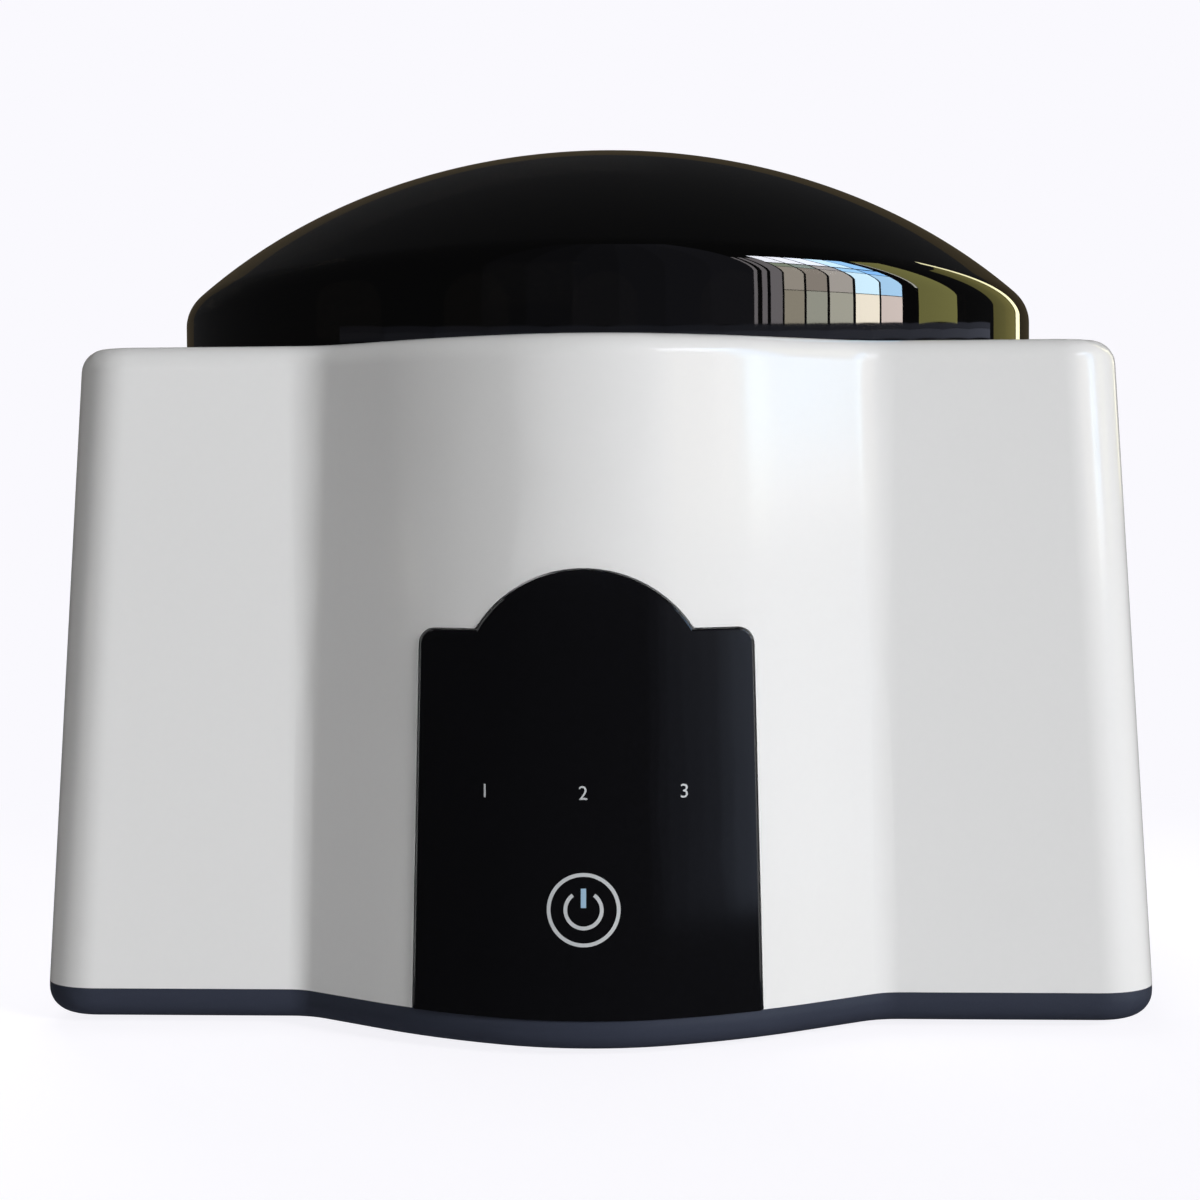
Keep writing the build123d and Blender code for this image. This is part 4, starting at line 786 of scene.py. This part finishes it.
studio = {
    "white": (0.956, 0.947, 0.991),
    "floorRadius": 0.42, "floorSegments": 96,
    "shadowReach": (0.16, 0.36),      # the floor fades into the white between these radii
    "floorPaint": 0.30,
    "floorShadowShare": 0.2,          # how much of the near floor's tone is lit, not glowing
    "floorGlow": 0.903,
    "ambient": (0.020, 0.019, 0.018),
    "dimRoom": (0.022, 0.022, 0.023),      # what the gloss mirrors where there is no window
    "floorMirrored": (0.02, 0.02, 0.021),
}

# What the gloss mirrors, as spans of azimuth (from the front towards the right) and of
# elevation in degrees, with the colour and brightness of each
windowView = {
    "distance": 6.0, "lift": 0.15,
    "bars": ((32.9, 33.7), (34.8, 36.0), (36.8, 39.6)), "barColor": (1.3, 1.2, 1.25),
    "barTop": 39.0,
    "columns": ((40.1, 45.0), (45.6, 51.0), (51.7, 58.1), (58.9, 66.0), (66.6, 73.5)),
    "sill": 4.62,
    "rows": {     # by the elevation of their tops, with one colour per column
        5.95: ((2.5, 2.25, 1.75), (3.0, 3.0, 2.5), (3.7, 3.6, 3.0), (8.9, 8.1, 6.7),
               (6.1, 5.2, 4.8)),
        22.0: ((2.9, 2.6, 2.2), (2.4, 2.1, 1.8), (3.7, 3.4, 3.1), (6.6, 9.0, 10.5),
               (3.8, 6.1, 8.5)),
        31.0: ((2.1, 2.4, 1.8), (2.5, 3.0, 2.7), (3.6, 3.4, 3.4), (3.7, 6.7, 9.8),
               (2.4, 5.2, 9.4)),
        48.0: ((9.5, 9.7, 10.5), (9.8, 10.0, 11.0), (9.4, 10.0, 11.4), (6.5, 9.2, 11.5),
               (3.0, 5.8, 9.4)),
    },
    "rail": 0.07, "railGrowth": 12,     # the rails look thicker where the view is steep
}
# Each part of the room: azimuths, elevations, the number of panes that it is laid with, then
# its colour at the first and at the last azimuth
roomView = {
    "frameEdge": ((78.2, 79.2), (7.0, 44.0), 1, (3.2, 3.2, 2.8), (3.2, 3.2, 2.8)),
    "panelling": ((79.4, 95.5), (4.62, 47.0), 1, (1.15, 1.10, 0.36), (1.15, 1.10, 0.36)),
    "farPanelling": ((116.5, 136.0), (3.0, 40.0), 2, (0.36, 0.33, 0.10), (0.42, 0.37, 0.11)),
    "edge": ((137.0, 142.0), (2.0, 42.0), 1, (3.2, 3.0, 1.8), (3.2, 3.0, 1.8)),
    "frontWall": ((-26.0, 32.9), (4.62, 74.0), 6, (0.003, 0.003, 0.004), (0.05, 0.05, 0.065)),
    "sillShade": ((-62.0, 114.0), (4.46, 4.61), 14, (0.02, 0.02, 0.03), (0.14, 0.15, 0.20)),
    "underSill": ((-62.0, 114.0), (4.2, 4.45), 14, (0.03, 0.03, 0.04), (0.27, 0.29, 0.38)),
    "lowWall": ((28.0, 50.0), (-12.0, 4.15), 5, (0.01, 0.01, 0.015), (0.17, 0.19, 0.25)),
    "lowRightWall": ((50.0, 62.0), (-12.0, 4.15), 4, (0.20, 0.23, 0.30), (0.66, 0.76, 1.0)),
    "lowFarWall": ((62.0, 100.0), (-12.0, 4.15), 4, (0.60, 0.68, 0.88), (0.15, 0.15, 0.18)),
    "rearWall": ((143.0, 219.0), (0.0, 25.0), 5, (0.034, 0.022, 0.003), (0.024, 0.015, 0.002)),
    "leftPane": ((-75.5, -72.3), (2.7, 3.5), 1, (3.4, 3.1, 2.7), (3.4, 3.1, 2.7)),
    "leftPaneNext": ((-70.5, -66.5), (2.7, 3.5), 1, (4.2, 3.9, 3.5), (4.2, 3.9, 3.5)),
}

# Soft lamps that light without being mirrored: azimuth, elevation, distance, size, power, colour
softLamps = {
    "keySoft": (50.0, 20.0, 4.0, 0.8, 121.0, (1.0, 1.0, 1.0)),
    "frontSoft": (-15.0, 20.0, 1.5, 0.5, 4.4, (0.98, 1.0, 1.0)),
    "rightSoft": (92.0, 10.0, 3.0, 1.0, 12.0, (1.0, 0.99, 0.97)),
    "leftSoft": (-75.0, 8.0, 1.5, 0.6, 0.4, (1.0, 0.62, 0.38)),
    "leftRearSoft": (-128.0, 20.0, 3.0, 1.0, 12.0, (1.0, 1.0, 1.0)),
    "belowSoft": (0.0, -75.0, 1.3, 0.8, 6.0, (1.0, 1.0, 1.0)),
    "rearSoft": (196.0, 30.0, 3.0, 1.5, 62.0, (1.0, 1.0, 1.0)),
}


# What tells the rays apart: seen by the camera or through clear pieces, and the rest
def lightPathMask(tree):
    rays = tree.nodes.new("ShaderNodeLightPath")
    camera, through = rays.outputs["Is Camera Ray"], rays.outputs["Is Transmission Ray"]
    return mathNode(tree, "MAXIMUM", camera, through), rays


# White to the camera and through clear pieces, a dim room to the gloss
def buildWorld():
    world = bpy.data.worlds.new("studioAir")
    scene.world = world
    world.use_nodes = True
    tree = world.node_tree
    back = tree.nodes["Background"]
    seen, rays = lightPathMask(tree)
    dim = mixColor(tree, rays.outputs["Is Glossy Ray"], studio["ambient"], studio["dimRoom"])
    colour = mixColor(tree, seen, dim, studio["white"])
    tree.links.new(colour, back.inputs["Color"])


def emissionNode(tree, color, strength=1.0):
    glow = tree.nodes.new("ShaderNodeEmission")
    glow.inputs["Color"].default_value = (*color, 1.0)
    glow.inputs["Strength"].default_value = strength
    return glow


def mixShaders(tree, factor, first, second):
    mix = tree.nodes.new("ShaderNodeMixShader")
    tree.links.new(factor, mix.inputs[0])
    tree.links.new(first.outputs[0], mix.inputs[1])
    tree.links.new(second.outputs[0], mix.inputs[2])
    return mix


# Near the object the floor takes a soft shadow; further out it is the background's white
def buildFloor():
    mesh = bpy.data.meshes.new("paleFloor")
    work = bmesh.new()
    bmesh.ops.create_circle(
        work, cap_ends=True, radius=studio["floorRadius"], segments=studio["floorSegments"],
    )
    work.to_mesh(mesh)
    work.free()
    floor = bpy.data.objects.new("paleFloor", mesh)
    scene.collection.objects.link(floor)
    material = bpy.data.materials.new("paleFloor")
    material.use_nodes = True
    tree = material.node_tree
    tree.nodes.remove(tree.nodes["Principled BSDF"])
    coordinates = tree.nodes.new("ShaderNodeTexCoord")
    length = tree.nodes.new("ShaderNodeVectorMath")
    length.operation = "LENGTH"
    tree.links.new(coordinates.outputs["Object"], length.inputs[0])
    fade = tree.nodes.new("ShaderNodeMapRange")
    fade.interpolation_type = "SMOOTHSTEP"
    for end, radius in zip(("From Min", "From Max"), studio["shadowReach"]):
        fade.inputs[end].default_value = radius
    tree.links.new(length.outputs["Value"], fade.inputs["Value"])
    share = studio["floorShadowShare"]
    lit = tree.nodes.new("ShaderNodeBsdfDiffuse")
    lit.inputs["Color"].default_value = (share, share, share, 1.0)
    glow = emissionNode(tree, studio["white"], studio["floorGlow"])
    near = tree.nodes.new("ShaderNodeAddShader")
    tree.links.new(lit.outputs[0], near.inputs[0])
    tree.links.new(glow.outputs[0], near.inputs[1])
    shown = mixShaders(tree, fade.outputs["Result"], near, emissionNode(tree, studio["white"]))
    paint = tree.nodes.new("ShaderNodeBsdfDiffuse")
    paint.inputs["Color"].default_value = (*(studio["floorPaint"],) * 3, 1.0)
    seen, rays = lightPathMask(tree)
    mirrored = emissionNode(tree, studio["floorMirrored"])
    unseen = mixShaders(tree, rays.outputs["Is Glossy Ray"], paint, mirrored)
    whole = mixShaders(tree, seen, unseen, shown)
    side = tree.nodes.new("ShaderNodeNewGeometry")     # clear from below: the underside shows
    clear = tree.nodes.new("ShaderNodeBsdfTransparent")
    surface = mixShaders(tree, side.outputs["Backfacing"], whole, clear)
    tree.links.new(surface.outputs[0], tree.nodes["Material Output"].inputs["Surface"])
    floor.visible_shadow = False      # so that the lamp below lights the underside
    mesh.materials.append(material)


def skyPoint(azimuth, elevation, distance):
    turn, rise = math.radians(azimuth), math.radians(elevation)
    flat = math.cos(rise) * distance
    return Vector((math.sin(turn) * flat, -math.cos(turn) * flat, math.sin(rise) * distance))


# An area lamp that faces the object's middle
def areaLamp(name, place, width, height, power, color):
    lamp = bpy.data.lights.new(name, "AREA")
    lamp.shape = "RECTANGLE"
    lamp.size = width
    lamp.size_y = height
    lamp.energy = power
    lamp.color = color
    holder = bpy.data.objects.new(name, lamp)
    holder.location = place
    holder.rotation_euler = (-place).to_track_quat("-Z", "Y").to_euler()
    scene.collection.objects.link(holder)
    return holder


# An upright pane that is only mirrored: it fills the given part of the view
def mirroredPane(name, azimuths, elevations, color):
    far = windowView["distance"]
    turn = math.radians(sum(azimuths) / 2)
    low, high = (far * math.tan(math.radians(e)) + windowView["lift"] for e in elevations)
    width = 2 * far * math.tan(math.radians(azimuths[1] - azimuths[0]) / 2)
    peak = max(color)
    place = Vector((math.sin(turn) * far, -math.cos(turn) * far, (low + high) / 2))
    power = peak * math.pi * width * (high - low)
    pane = areaLamp(name, place, width, high - low, power, [c / peak for c in color])
    pane.rotation_euler = Vector((-place.x, -place.y, 0.0)).to_track_quat("-Z", "Y").to_euler()
    pane.visible_diffuse = False
    pane.visible_transmission = False
    return pane


def buildWindow():
    w = windowView
    tops = sorted(w["rows"])
    for number, span in enumerate(w["bars"]):
        mirroredPane(f"bar{number}", span, (w["sill"], w["barTop"]), w["barColor"])
    for column, span in enumerate(w["columns"]):
        foot = w["sill"]
        for row, top in enumerate(tops):
            rail = w["rail"] * (1 + w["railGrowth"] * row)
            mirroredPane(f"pane{column}{row}", span, (foot, top - rail), w["rows"][top][column])
            foot = top
    for name, (azimuths, elevations, count, firstColor, lastColor) in roomView.items():
        start, width = azimuths[0], (azimuths[1] - azimuths[0]) / count
        for number in range(count):
            color = Vector(firstColor).lerp(Vector(lastColor), (number + 0.5) / count)
            span = (start + width * number, start + width * (number + 1))
            mirroredPane(f"{name}{number}", span, elevations, color)


def buildSoftLamps():
    for name, (azimuth, elevation, distance, size, power, color) in softLamps.items():
        lamp = areaLamp(name, skyPoint(azimuth, elevation, distance), size, size, power, color)
        lamp.visible_glossy = False


# The photograph's camera: millimetres and degrees
photoCamera = {
    "place": (24.97, -518.46, 101.41), "yaw": 2.913, "pitch": -2.057, "roll": 0.32,
    "lens": 68.82, "sensor": 36.0, "clipStart": 10.0,
}


def buildCamera():
    c = photoCamera
    yaw, pitch, roll = (math.radians(c[key]) for key in ("yaw", "pitch", "roll"))
    level = math.cos(pitch)
    forward = Vector((-math.sin(yaw) * level, math.cos(yaw) * level, math.sin(pitch)))
    right = Vector((math.cos(yaw), math.sin(yaw), 0.0))
    up = right.cross(forward)
    rolledRight = right * math.cos(roll) - up * math.sin(roll)
    rolledUp = right * math.sin(roll) + up * math.cos(roll)
    camera = bpy.data.objects.new("camera", bpy.data.cameras.new("camera"))
    camera.data.sensor_width = c["sensor"]
    camera.data.lens = c["lens"]
    camera.data.clip_start = c["clipStart"] * mm
    turned = Matrix((rolledRight, rolledUp, -forward)).transposed().to_4x4()
    camera.matrix_world = Matrix.Translation(Vector(c["place"]) * mm) @ turned
    scene.collection.objects.link(camera)
    scene.camera = camera


buildWorld()
buildFloor()
buildWindow()
buildSoftLamps()
buildCamera()
scene.view_settings.view_transform = "Standard"
print("studio set")
